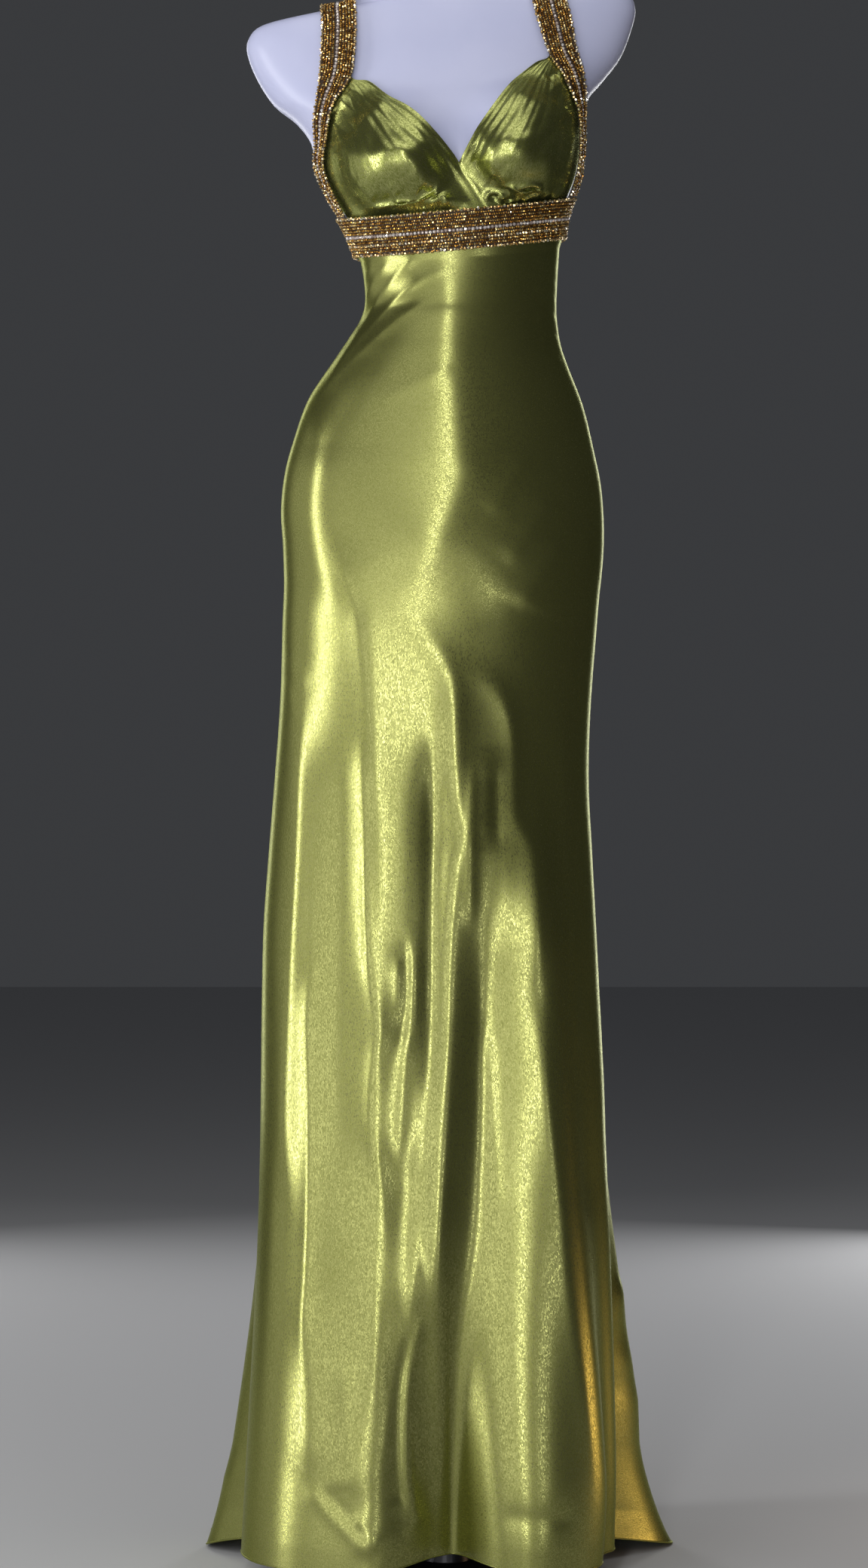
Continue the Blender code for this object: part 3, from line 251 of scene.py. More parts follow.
# Points of a strap's middle line (x, y, z) and its width, from the shoulder down.
RIGHT_STRAP_FRONT = (
    (-0.1095, 0.024, 1.6160, 0.036), (-0.1095, -0.006, 1.6060, 0.036),
    (-0.1100, -0.026, 1.5860, 0.036), (-0.1120, -0.040, 1.5600, 0.036),
    (-0.1160, -0.050, 1.5380, 0.0345), (-0.1270, -0.051, 1.5090, 0.0200),
    (-0.1340, -0.041, 1.4740, 0.0195), (-0.1320, -0.032, 1.4400, 0.0195),
    (-0.1180, -0.028, 1.4080, 0.0190), (-0.1075, -0.026, 1.3902, 0.0185),
)
LEFT_STRAP_FRONT = (
    (0.1010, 0.024, 1.6500, 0.036), (0.1030, -0.006, 1.6400, 0.036),
    (0.1065, -0.024, 1.6200, 0.036), (0.1133, -0.036, 1.5950, 0.0355),
    (0.1226, -0.044, 1.5650, 0.0310), (0.1370, -0.040, 1.5350, 0.0220),
    (0.1395, -0.020, 1.5000, 0.0185), (0.1365, -0.020, 1.4650, 0.0185),
    (0.1290, -0.020, 1.4360, 0.0190), (0.1240, -0.018, 1.4155, 0.0185),
)
RIGHT_STRAP_BACK = (
    (-0.1095, 0.024, 1.6160, 0.036), (-0.1120, 0.052, 1.6060, 0.035),
    (-0.1105, 0.074, 1.5860, 0.033), (-0.1080, 0.088, 1.5560, 0.030),
    (-0.1060, 0.096, 1.5200, 0.026), (-0.1000, 0.098, 1.4800, 0.023),
    (-0.0900, 0.088, 1.4360, 0.021), (-0.0790, 0.068, 1.3970, 0.020),
)
LEFT_STRAP_BACK = (
    (0.1010, 0.024, 1.6500, 0.036), (0.1025, 0.052, 1.6420, 0.036),
    (0.1045, 0.074, 1.6200, 0.034), (0.1060, 0.088, 1.5900, 0.030),
    (0.1060, 0.096, 1.5500, 0.026), (0.1040, 0.098, 1.5050, 0.023),
    (0.0980, 0.088, 1.4560, 0.021), (0.0880, 0.070, 1.4132, 0.020),
)

# ---------------------------------------------------------------- folds
class Side(Enum):
    """Which side of the gown a fold lies on."""

    FRONT = 1
    BACK = -1


@dataclass(frozen=True)
class Fold:
    """A ridge, or a hollow where its height is negative, along a line of points (x, z).

    left and right are its half widths on the -X and +X sides of a line that runs down.
    """

    side: Side
    height: float
    left: float
    right: float
    path: tuple[Pair, ...]


def folds_on(side: Side, *rows: tuple) -> tuple[Fold, ...]:
    """One side's folds, from rows of a fold's height, its half widths and its path."""
    return tuple(Fold(side, *row) for row in rows)


SKIRT_FOLDS = folds_on(
    Side.FRONT,
    # Drag folds from the band's middle to the right of the waist
    (0.0022, 0.007, 0.005, (
        (0.004, 1.36), (-0.021, 1.35), (-0.048, 1.33), (-0.069, 1.303), (-0.09, 1.266), (-0.112, 1.232),
        (-0.128, 1.206))),
    (0.0015, 0.006, 0.004, (
        (0.008, 1.334), (-0.022, 1.322), (-0.048, 1.304), (-0.074, 1.278), (-0.099, 1.248),
        (-0.118, 1.222))),
    (0.0013, 0.007, 0.005, (
        (-0.006, 1.306), (-0.028, 1.295), (-0.05, 1.28), (-0.08, 1.256), (-0.112, 1.226),
        (-0.14, 1.196))),
    (0.0008, 0.008, 0.007, ((0.009, 1.234), (-0.04, 1.21), (-0.07, 1.197))),
    (0.0012, 0.005, 0.004, ((-0.055, 1.345), (-0.07, 1.328), (-0.083, 1.305), (-0.09, 1.284))),
    (0.0009, 0.004, 0.004, ((-0.073, 1.344), (-0.083, 1.328), (-0.089, 1.311))),
    (-0.0014, 0.006, 0.005, ((-0.034, 1.341), (-0.059, 1.322), (-0.075, 1.297), (-0.09, 1.27))),
    # The side closing's small puckers
    (0.0009, 0.003, 0.003, ((0.114, 1.341), (0.102, 1.333), (0.092, 1.33))),
    (0.001, 0.003, 0.003, ((0.113, 1.325), (0.101, 1.318), (0.087, 1.316))),
    (0.0008, 0.003, 0.003, ((0.112, 1.31), (0.101, 1.304), (0.093, 1.301))),
    (0.001, 0.003, 0.003, ((0.112, 1.291), (0.099, 1.286), (0.089, 1.284))),
    (0.0008, 0.003, 0.003, ((0.113, 1.27), (0.102, 1.265), (0.095, 1.264))),
    (0.0007, 0.003, 0.003, ((0.117, 1.247), (0.107, 1.242), (0.099, 1.24))),
    # Over the hips
    (0.008, 0.046, 0.046, (
        (-0.006, 1.368), (0.001, 1.29), (0.006, 1.222), (0.012, 1.145), (0.014, 1.12), (-0.002, 1.075),
        (-0.024, 1.03), (-0.036, 0.985))),
    (0.0046, 0.02, 0.03, (
        (-0.126, 1.215), (-0.127, 1.145), (-0.131, 1.084), (-0.123, 1.031), (-0.1, 0.972))),
    (0.001, 0.014, 0.012, ((0.108, 1.108), (0.086, 1.07), (0.056, 1.03))),
    (0.0012, 0.014, 0.012, ((0.118, 1.064), (0.096, 1.022), (0.07, 0.984))),
    (0.0007, 0.012, 0.011, ((0.084, 1.15), (0.06, 1.11), (0.038, 1.08))),
    (0.0012, 0.006, 0.006, ((-0.162, 0.944), (-0.152, 0.922), (-0.14, 0.905))),
    (0.0008, 0.005, 0.005, ((-0.164, 0.916), (-0.156, 0.893), (-0.147, 0.878))),
    # The long folds down the front
    (0.0011, 0.008, 0.014, (
        (-0.112, 1.075), (-0.1, 1.03), (-0.088, 0.99), (-0.08, 0.939), (-0.073, 0.843),
        (-0.068, 0.76))),
    (0.0048, 0.018, 0.026, (
        (-0.113, 1.094), (-0.11, 1.057), (-0.09, 1.001), (-0.08, 0.939), (-0.073, 0.843), (-0.065, 0.7),
        (-0.067, 0.584), (-0.068, 0.44))),
    (0.002, 0.012, 0.01, (
        (-0.066, 0.64), (-0.068, 0.5), (-0.069, 0.389), (-0.069, 0.24), (-0.066, 0.15))),
    (0.002, 0.007, 0.008, (
        (-0.08, 0.789), (-0.079, 0.69), (-0.072, 0.6), (-0.065, 0.562), (-0.072, 0.525), (-0.074, 0.47),
        (-0.062, 0.4), (-0.058, 0.31))),
    (0.0078, 0.015, 0.016, (
        (-0.053, 1.003), (-0.025, 0.964), (0, 0.927), (0.008, 0.893), (0.009, 0.795), (0.015, 0.756),
        (0.008, 0.727), (0.003, 0.651), (-0.001, 0.464), (-0.005, 0.315), (-0.01, 0.218))),
    (0.0036, 0.012, 0.009, (
        (0.003, 0.93), (0.043, 0.913), (0.062, 0.88), (0.067, 0.833), (0.067, 0.78), (0.076, 0.757),
        (0.082, 0.727), (0.084, 0.584))),
    (0.022, 0.044, 0.022, (
        (0.084, 0.835), (0.09, 0.689), (0.098, 0.584), (0.106, 0.464), (0.112, 0.374), (0.12, 0.29),
        (0.132, 0.181), (0.142, 0.06), (0.144, -0.08))),
    (0.004, 0.009, 0.01, (
        (0.085, 0.614), (0.09, 0.501), (0.101, 0.389), (0.106, 0.315), (0.122, 0.166), (0.132, 0.092))),
    (0.006, 0.015, 0.013, (
        (-0.146, 0.931), (-0.146, 0.84), (-0.149, 0.727), (-0.155, 0.584), (-0.157, 0.464),
        (-0.152, 0.352))),
    (0.003, 0.007, 0.007, (
        (-0.13, 0.659), (-0.137, 0.584), (-0.134, 0.464), (-0.135, 0.352), (-0.138, 0.203))),
    (0.0024, 0.008, 0.008, ((-0.086, 0.871), (-0.081, 0.765), (-0.076, 0.584))),
    (0.002, 0.005, 0.006, (
        (-0.037, 0.674), (-0.033, 0.629), (-0.035, 0.576), (-0.042, 0.516), (-0.048, 0.419))),
    (0.0016, 0.004, 0.005, ((-0.047, 0.636), (-0.048, 0.606), (-0.045, 0.576))),
    (-0.002, 0.005, 0.005, ((-0.041, 0.659), (-0.041, 0.599), (-0.047, 0.539))),
    (0.0024, 0.012, 0.01, ((0.121, 0.916), (0.118, 0.802), (0.121, 0.651), (0.127, 0.501))),
    (-0.009, 0.009, 0.013, (
        (-0.011, 0.893), (-0.012, 0.765), (-0.014, 0.584), (-0.016, 0.464), (-0.023, 0.352))),
    (-0.017, 0.018, 0.028, (
        (0.044, 0.76), (0.042, 0.64), (0.041, 0.56), (0.038, 0.464), (0.033, 0.352), (0.022, 0.2),
        (0.015, 0.092), (0.012, -0.1))),
    (-0.0026, 0.014, 0.014, ((-0.104, 0.878), (-0.106, 0.727), (-0.11, 0.584), (-0.108, 0.389))),
    (0.0026, 0.012, 0.014, ((0.036, 0.848), (0.04, 0.802), (0.036, 0.749))),
    (0.0024, 0.007, 0.007, ((0.026, 0.84), (0.024, 0.78), (0.023, 0.719), (0.024, 0.659))),
    (-0.0016, 0.005, 0.006, ((0.051, 0.825), (0.048, 0.787), (0.051, 0.742))),
    (0.002, 0.006, 0.006, ((0.044, 0.576), (0.047, 0.464), (0.051, 0.359))),
    (-0.0026, 0.01, 0.012, ((0.14, 0.651), (0.136, 0.501), (0.134, 0.352))),
    (0.0022, 0.008, 0.009, ((-0.027, 0.479), (-0.029, 0.389), (-0.033, 0.3), (-0.04, 0.24))),
    # Near the hem
    (0.015, 0.036, 0.024, ((-0.034, 0.42), (-0.03, 0.25), (-0.028, 0.12), (-0.028, -0.15))),
    (0.02, 0.034, 0.016, (
        (-0.016, 0.6), (-0.014, 0.46), (-0.01, 0.32), (-0.006, 0.2), (-0.004, 0.08), (-0.004, -0.12))),
    (0.0042, 0.008, 0.004, (
        (-0.02, 0.289), (-0.032, 0.25), (-0.039, 0.214), (-0.04, 0.133), (-0.034, 0.092),
        (-0.024, 0.056))),
    (-0.004, 0.009, 0.004, ((-0.032, 0.27), (-0.047, 0.214), (-0.05, 0.144), (-0.046, 0.048))),
    (0.0014, 0.005, 0.004, ((-0.044, 0.285), (-0.048, 0.24), (-0.054, 0.196), (-0.063, 0.129))),
    (0.0016, 0.005, 0.005, ((-0.136, 0.113), (-0.112, 0.085), (-0.091, 0.063), (-0.069, 0.037))),
    (0.0018, 0.005, 0.005, ((-0.091, 0.085), (-0.078, 0.066), (-0.065, 0.047))),
    (-0.0014, 0.006, 0.005, ((-0.121, 0.109), (-0.097, 0.082), (-0.075, 0.056))),
    (0.0005, 0.002, 0.002, ((-0.144, 0.12), (-0.114, 0.118), (-0.084, 0.115))),
    (-0.0014, 0.007, 0.007, ((0.051, 0.084), (0.081, 0.079), (0.114, 0.082))),
    (0.0012, 0.007, 0.006, ((-0.054, 0.1), (-0.043, 0.085), (-0.027, 0.09))),
    (0.0012, 0.006, 0.006, ((-0.046, 0.063), (-0.033, 0.07), (-0.022, 0.078))),
    (0.0022, 0.014, 0.014, ((-0.14, 0.315), (-0.135, 0.24), (-0.13, 0.166), (-0.132, 0.107))),
    (0.0015, 0.01, 0.01, ((-0.099, 0.24), (-0.093, 0.166), (-0.087, 0.092))),
) + folds_on(
    Side.BACK,
    # A crease in the panel that shows past the front one
    (0.005, 0.004, 0.006, (
        (0.166, 0.3), (0.17, 0.262), (0.177, 0.232), (0.175, 0.205), (0.178, 0.176))),
    # Drag folds at the small of the back
    (0.0034, 0.007, 0.01, ((0.02, 1.345), (0.052, 1.322), (0.08, 1.29), (0.106, 1.25))),
    (0.0028, 0.01, 0.007, ((0, 1.322), (-0.034, 1.302), (-0.068, 1.268), (-0.1, 1.232))),
    (0.003, 0.007, 0.011, ((0.03, 1.268), (0.074, 1.238), (0.112, 1.196))),
    (0.0024, 0.012, 0.008, ((-0.01, 1.262), (-0.052, 1.222), (-0.08, 1.19))),
    (0.0016, 0.005, 0.005, ((0.046, 1.35), (0.072, 1.33), (0.09, 1.306))),
    (0.0014, 0.005, 0.005, ((-0.03, 1.342), (-0.058, 1.322), (-0.08, 1.296))),
    (0.0012, 0.006, 0.006, ((0.012, 1.242), (0.04, 1.222), (0.07, 1.186))),
    (0.003, 0.014, 0.016, ((0.118, 1.17), (0.128, 1.11), (0.13, 1.04), (0.118, 0.98))),
    (0.0022, 0.014, 0.012, ((-0.118, 1.15), (-0.13, 1.08), (-0.122, 1.0))),
    # The long folds down the back
    (0.0045, 0.012, 0.011, (
        (0.062, 0.992), (0.07, 0.92), (0.078, 0.8), (0.08, 0.64), (0.088, 0.46), (0.1, 0.28),
        (0.112, 0.13))),
    (0.0044, 0.01, 0.012, (
        (-0.018, 0.985), (-0.01, 0.9), (-0.014, 0.76), (-0.022, 0.6), (-0.022, 0.44), (-0.03, 0.26))),
    (0.004, 0.012, 0.01, (
        (-0.096, 1.02), (-0.09, 0.93), (-0.084, 0.8), (-0.092, 0.62), (-0.104, 0.43), (-0.116, 0.24))),
    (-0.005, 0.014, 0.016, ((0.026, 0.9), (0.03, 0.72), (0.034, 0.52), (0.04, 0.34))),
    (-0.004, 0.016, 0.014, ((-0.054, 0.88), (-0.058, 0.7), (-0.064, 0.5), (-0.07, 0.32))),
    (0.0022, 0.007, 0.007, ((0.048, 0.82), (0.052, 0.7), (0.05, 0.56), (0.056, 0.4))),
    (0.002, 0.006, 0.007, ((0.012, 0.74), (0.008, 0.6), (0.012, 0.46))),
    (0.0018, 0.006, 0.006, ((-0.042, 0.66), (-0.044, 0.54), (-0.05, 0.4))),
    (0.003, 0.01, 0.008, ((0.136, 0.72), (0.142, 0.56), (0.15, 0.36), (0.156, 0.22))),
    (0.0026, 0.008, 0.01, ((-0.14, 0.7), (-0.146, 0.52), (-0.152, 0.34))),
    (0.0014, 0.005, 0.005, ((0.076, 0.3), (0.09, 0.2), (0.108, 0.12))),
    (0.0014, 0.005, 0.005, ((-0.06, 0.3), (-0.066, 0.2), (-0.08, 0.12))),
)

# The cups' folds (x, z): gathers from the strap, long pleats beside the neckline, and puckers
# where the satin is drawn in at the band.
RIGHT_CUP_FOLDS = folds_on(
    Side.FRONT,
    (0.0024, 0.01, 0.009, ((-0.0932, 1.4716), (-0.0825, 1.48), (-0.0688, 1.493), (-0.0565, 1.5098))),
    (0.0024, 0.012, 0.009, (
        (-0.0726, 1.4518), (-0.055, 1.4464), (-0.0397, 1.4479), (-0.0229, 1.4541), (-0.0061, 1.4495),
        (0.0092, 1.435), (0.0199, 1.4212))),
    (-0.0018, 0.012, 0.012, ((-0.0795, 1.4625), (-0.055, 1.4655), (-0.0336, 1.4747))),
    (0.0009, 0.003, 0.0025, ((-0.1024, 1.522), (-0.0894, 1.5144), (-0.0726, 1.5022), (-0.055, 1.4884))),
    (-0.0009, 0.0025, 0.003, ((-0.1062, 1.5205), (-0.0963, 1.5098), (-0.0825, 1.4991))),
    (0.0009, 0.003, 0.0025, ((-0.1093, 1.5159), (-0.1016, 1.5037), (-0.0886, 1.4915))),
    (-0.0042, 0.003, 0.005, ((-0.1146, 1.5007), (-0.107, 1.49), (-0.0978, 1.4785), (-0.0894, 1.4693))),
    (0.0014, 0.004, 0.003, ((-0.1115, 1.5022), (-0.1024, 1.49), (-0.0932, 1.48), (-0.0856, 1.4732))),
    (0.0008, 0.003, 0.003, ((-0.1161, 1.4915), (-0.11, 1.4777), (-0.1008, 1.4625))),
    (-0.0007, 0.003, 0.003, ((-0.1169, 1.4777), (-0.1115, 1.4655), (-0.107, 1.4533))),
    (0.0009, 0.004, 0.004, (
        (-0.1039, 1.4701), (-0.0978, 1.4579), (-0.0917, 1.4426), (-0.0902, 1.4243))),
    (0.0031, 0.0028, 0.0028, (
        (-0.0474, 1.4044), (-0.0443, 1.409), (-0.0382, 1.4082), (-0.0351, 1.4036))),
    (0.0025, 0.0026, 0.0026, ((-0.0481, 1.4013), (-0.0428, 1.3975), (-0.0359, 1.3998))),
    (-0.0031, 0.0026, 0.0026, ((-0.0458, 1.4029), (-0.0413, 1.4029), (-0.0374, 1.4029))),
    (0.0036, 0.003, 0.0026, (
        (-0.0275, 1.3983), (-0.0199, 1.4074), (-0.0138, 1.4105), (-0.0092, 1.4044))),
    (-0.0031, 0.003, 0.003, ((-0.0306, 1.4212), (-0.0229, 1.4166), (-0.0138, 1.4136))),
    (0.0036, 0.0028, 0.0022, (
        (-0.0138, 1.3937), (-0.0092, 1.3998), (-0.0015, 1.4044), (0, 1.3983), (-0.0046, 1.3929))),
    (0.002, 0.0022, 0.0022, ((-0.0642, 1.3937), (-0.0604, 1.3975), (-0.0558, 1.3952))),
    (0.002, 0.0022, 0.0022, ((-0.055, 1.3952), (-0.052, 1.3998), (-0.0481, 1.3968))),
    (-0.002, 0.004, 0.005, ((-0.0703, 1.4044), (-0.0581, 1.409), (-0.0489, 1.4136))),
    (0.0012, 0.004, 0.004, ((-0.0856, 1.4273), (-0.0749, 1.4181), (-0.0657, 1.412))),
    (0.001, 0.0035, 0.0035, ((-0.0397, 1.435), (-0.0275, 1.4258), (-0.0168, 1.4197))),
    (0.001, 0.003, 0.003, ((-0.055, 1.4243), (-0.0458, 1.4166))),
)
LEFT_CUP_FOLDS = folds_on(
    Side.FRONT,
    (0.0026, 0.009, 0.012, (
        (0.0344, 1.4823), (0.0405, 1.464), (0.0504, 1.4487), (0.0611, 1.438), (0.0657, 1.4243))),
    (0.002, 0.01, 0.01, ((0.0642, 1.5129), (0.0795, 1.5037), (0.0947, 1.4961), (0.107, 1.4793))),
    (-0.001, 0.012, 0.012, ((0.055, 1.49), (0.0703, 1.4762), (0.081, 1.4594))),
    (-0.0022, 0.004, 0.0028, (
        (0.1299, 1.4961), (0.1161, 1.4838), (0.1024, 1.4686), (0.0871, 1.4502), (0.0764, 1.4365))),
    (0.0014, 0.0035, 0.0035, ((0.1253, 1.5037), (0.1115, 1.4884), (0.0947, 1.4701))),
    (-0.001, 0.0028, 0.0028, ((0.1222, 1.522), (0.1146, 1.5144), (0.107, 1.5022))),
    (-0.0012, 0.0028, 0.0028, ((0.1161, 1.5373), (0.1085, 1.5358), (0.1008, 1.5297))),
    (0.0008, 0.0028, 0.0028, ((0.1192, 1.5297), (0.11, 1.522), (0.0993, 1.5098))),
    (0.0008, 0.003, 0.003, ((0.1299, 1.4823), (0.1253, 1.4625), (0.1192, 1.4411), (0.11, 1.4227))),
    (-0.0008, 0.003, 0.003, ((0.1329, 1.4747), (0.1299, 1.4548), (0.1253, 1.4334))),
    (-0.0014, 0.003, 0.003, ((0.0688, 1.4472), (0.0565, 1.435), (0.0443, 1.4212))),
    (0.0012, 0.003, 0.003, ((0.052, 1.435), (0.0428, 1.4243), (0.0351, 1.4136))),
    (0.0034, 0.0026, 0.0026, (
        (0.0413, 1.3983), (0.0397, 1.4044), (0.0443, 1.4097), (0.0504, 1.4097), (0.055, 1.4044),
        (0.0535, 1.3983))),
    (-0.0028, 0.0024, 0.0024, ((0.0451, 1.4013), (0.0474, 1.4044), (0.0504, 1.4029))),
    (0.0048, 0.0034, 0.003, ((0.0626, 1.4273), (0.0665, 1.4197), (0.0688, 1.409), (0.0703, 1.3968))),
    (-0.0036, 0.0026, 0.0026, ((0.0596, 1.4212), (0.0619, 1.412), (0.0634, 1.3998))),
    (0.0042, 0.0028, 0.0028, ((0.0688, 1.4197), (0.0749, 1.4243), (0.0825, 1.4258), (0.0909, 1.422))),
    (-0.0028, 0.0024, 0.0024, ((0.0718, 1.4166), (0.0795, 1.4197), (0.0886, 1.4181))),
    (0.0036, 0.0026, 0.0026, ((0.0718, 1.409), (0.0779, 1.4151), (0.0856, 1.4174), (0.0917, 1.4159))),
    (-0.0028, 0.0024, 0.0024, ((0.0764, 1.4074), (0.0825, 1.4113), (0.0886, 1.412))),
    (0.0036, 0.0026, 0.0026, ((0.0764, 1.3968), (0.0779, 1.4036), (0.084, 1.4082), (0.0902, 1.4059))),
    (0.0022, 0.0026, 0.0026, ((0.0947, 1.4044), (0.0978, 1.4105), (0.1039, 1.4136))),
    (0.0012, 0.0026, 0.0026, ((0.1085, 1.4044), (0.1131, 1.4136), (0.1192, 1.4243))),
    (0.002, 0.003, 0.003, ((0.0244, 1.4044), (0.0306, 1.3983), (0.0336, 1.3937))),
)


@dataclass(frozen=True)
class Pleat:
    """A gather that runs down a cup with the drape.

    top and foot are where its line lies between the armhole edge (0) and the neckline (1) at the
    cup's two ends, and width is a share of the cup's width.
    """

    height: float
    width: float
    top: float
    foot: float
    start: float = 0.0
    end: float = 1.0


RIGHT_CUP_PLEATS = tuple(Pleat(*row) for row in (
    (0.0008, 0.022, 0.90, 0.955, 0.10, 1.02),
    (-0.0007, 0.018, 0.85, 0.915, 0.16, 0.96),
    (0.0009, 0.024, 0.80, 0.875, 0.08, 0.98),
    (-0.0006, 0.016, 0.76, 0.835, 0.30, 0.90),
    (0.0006, 0.020, 0.70, 0.790, 0.22, 0.98),
    (-0.0009, 0.020, 0.66, 0.740, 0.12, 0.84),
    (0.0008, 0.026, 0.60, 0.685, 0.05, 0.92),
    (-0.0006, 0.018, 0.55, 0.640, 0.28, 0.98),
    (0.0007, 0.020, 0.50, 0.590, 0.18, 0.86),
    (-0.0008, 0.022, 0.43, 0.530, 0.10, 0.78),
    (0.0006, 0.020, 0.37, 0.470, 0.34, 0.98),
    (0.0007, 0.024, 0.29, 0.400, 0.20, 0.80),
    (-0.0006, 0.020, 0.22, 0.330, 0.42, 0.96),
    (0.0008, 0.024, 0.15, 0.250, 0.38, 0.94),
    (-0.0006, 0.018, 0.10, 0.180, 0.50, 0.98),
    (0.0006, 0.020, 0.05, 0.110, 0.44, 0.90),
))
LEFT_CUP_PLEATS = tuple(Pleat(*row) for row in (
    (0.0008, 0.020, 0.91, 0.960, 0.06, 0.90),
    (-0.0006, 0.016, 0.87, 0.920, 0.14, 0.80),
    (0.0009, 0.022, 0.82, 0.880, 0.10, 0.98),
    (-0.0008, 0.020, 0.77, 0.830, 0.20, 0.90),
    (0.0007, 0.018, 0.73, 0.785, 0.05, 0.84),
    (-0.0006, 0.016, 0.68, 0.740, 0.26, 0.94),
    (0.0010, 0.024, 0.62, 0.690, 0.10, 0.88),
    (-0.0009, 0.022, 0.56, 0.630, 0.18, 0.82),
    (0.0007, 0.018, 0.51, 0.580, 0.30, 0.96),
    (0.0008, 0.022, 0.44, 0.520, 0.08, 0.80),
    (-0.0009, 0.020, 0.38, 0.460, 0.22, 0.86),
    (0.0008, 0.022, 0.32, 0.400, 0.16, 0.78),
    (-0.0008, 0.018, 0.26, 0.330, 0.34, 0.90),
    (0.0009, 0.022, 0.19, 0.260, 0.30, 0.84),
    (-0.0008, 0.020, 0.13, 0.190, 0.42, 0.94),
    (0.0007, 0.018, 0.07, 0.120, 0.46, 0.90),
))



# ---------------------------------------------------------------- number helpers
def ease(low: float, high: float, value: Array) -> Array:
    """A share for each value, from 0 at low to 1 at high, that starts and ends level."""
    share = np.clip((value - low) / (high - low), 0.0, 1.0)
    return share * share * (3.0 - 2.0 * share)


def rows_at(table: Array, step: Array) -> Array:
    """Rows between a table's rows, one for each step, on a curve through them all."""
    last = len(table) - 1
    index = np.clip(np.floor(step).astype(int), 0, last - 1)
    share = (step - index)[:, None]
    before, start = table[np.maximum(index - 1, 0)], table[index]
    end, after = table[index + 1], table[np.minimum(index + 2, last)]
    bend = (2 * before - 5 * start + 4 * end - after) * share
    bend = bend + (3 * start - before - 3 * end + after) * share ** 2
    return start + 0.5 * share * (end - before + bend)


def eased_table(table: Sequence[Pair], key: Array) -> Array:
    """The values beside each key in a table of rising keys and values, eased between rows."""
    value = np.full(len(key), table[0][1])
    for (low, low_value), (high, high_value) in zip(table, table[1:]):
        step = low_value + (high_value - low_value) * ease(low, high, key)
        value = np.where(key > low, step, value)
    return value


def turn_between(angle: Array, other: Array) -> Array:
    """The signed turns from one angle to another, in degrees."""
    return (angle - other + 180.0) % 360.0 - 180.0


def units(vectors: Array) -> Array:
    """The vectors, each made one unit long."""
    return vectors / np.linalg.norm(vectors, axis=1, keepdims=True)


def points(*columns: Array) -> Array:
    """Rows of coordinates from their columns."""
    return np.stack(np.broadcast_arrays(*columns), axis=1).astype(float)


def level_outward(along: Array) -> Array:
    """The level ways out of the body, square to ways round it."""
    return units(points(along[:, 1], -along[:, 0], 0.0))


def halved(low: Array, high: Array, times: int, is_under: Callable[[Array], Array]) -> Array:
    """Where a test that is true at low stops being true, by halving each stretch that often."""
    for _ in range(times):
        middle = (low + high) / 2
        under = is_under(middle)
        low, high = np.where(under, middle, low), np.where(under, high, middle)
    return (low + high) / 2


def fold_reach(folds: Sequence[Fold], side: Side, x: Array, z: Array) -> Array:
    """How far a set of folds throws the cloth out, or draws it in.

    Args:
        folds: the folds.
        side: the side of the gown that the places lie on.
        x: the places' x.
        z: the places' z.

    Returns:
        The reach at each place, in metres.
    """
    reach = np.zeros(len(x))
    for fold in folds:
        if fold.side is not side:
            continue
        path = np.array(fold.path)
        path = rows_at(path, np.linspace(0.0, len(path) - 1.0, FOLD_STEPS * len(path)))
        edge = FOLD_EDGE * max(fold.left, fold.right)
        near = (x > path[:, 0].min() - edge) & (x < path[:, 0].max() + edge)
        near &= (z > path[:, 1].min() - edge) & (z < path[:, 1].max() + edge)
        if not near.any():
            continue
        away, at = path_place(path, x[near], z[near])
        width = np.where(away < 0.0, fold.left, fold.right)
        ends = ease(0.0, FOLD_TAPER, at) * ease(0.0, FOLD_TAPER, 1.0 - at)
        crest = width.mean() * (FOLD_CREST if fold.height > 0.0 else HOLLOW_CREST)
        reach[near] += fold.height * np.exp((crest - np.hypot(away, crest)) / width) * ends
    return reach


def path_place(path: Array, x: Array, z: Array) -> tuple[Array, Array]:
    """Where places lie beside a path.

    Args:
        path: the path's points (x, z).
        x: the places' x.
        z: the places' z.

    Returns:
        The distance from the path, negative on its -X side where it runs down, and the share of
        the path's length at the nearest point.
    """
    runs = np.diff(path, axis=0)
    lengths = np.linalg.norm(runs, axis=1)
    passed = np.concatenate([[0.0], np.cumsum(lengths)])
    nearest = np.full(len(x), math.inf)
    at = np.zeros(len(x))
    for start, run, length, before in zip(path, runs / lengths[:, None], lengths, passed):
        off_x, off_z = x - start[0], z - start[1]
        along = np.clip(off_x * run[0] + off_z * run[1], 0.0, length)
        away = np.hypot(off_x - run[0] * along, off_z - run[1] * along)
        hand = np.where(run[0] * off_z - run[1] * off_x < 0.0, -1.0, 1.0)
        closer = away < np.abs(nearest)
        nearest = np.where(closer, away * hand, nearest)
        at = np.where(closer, (before + along) / passed[-1], at)
    return nearest, at


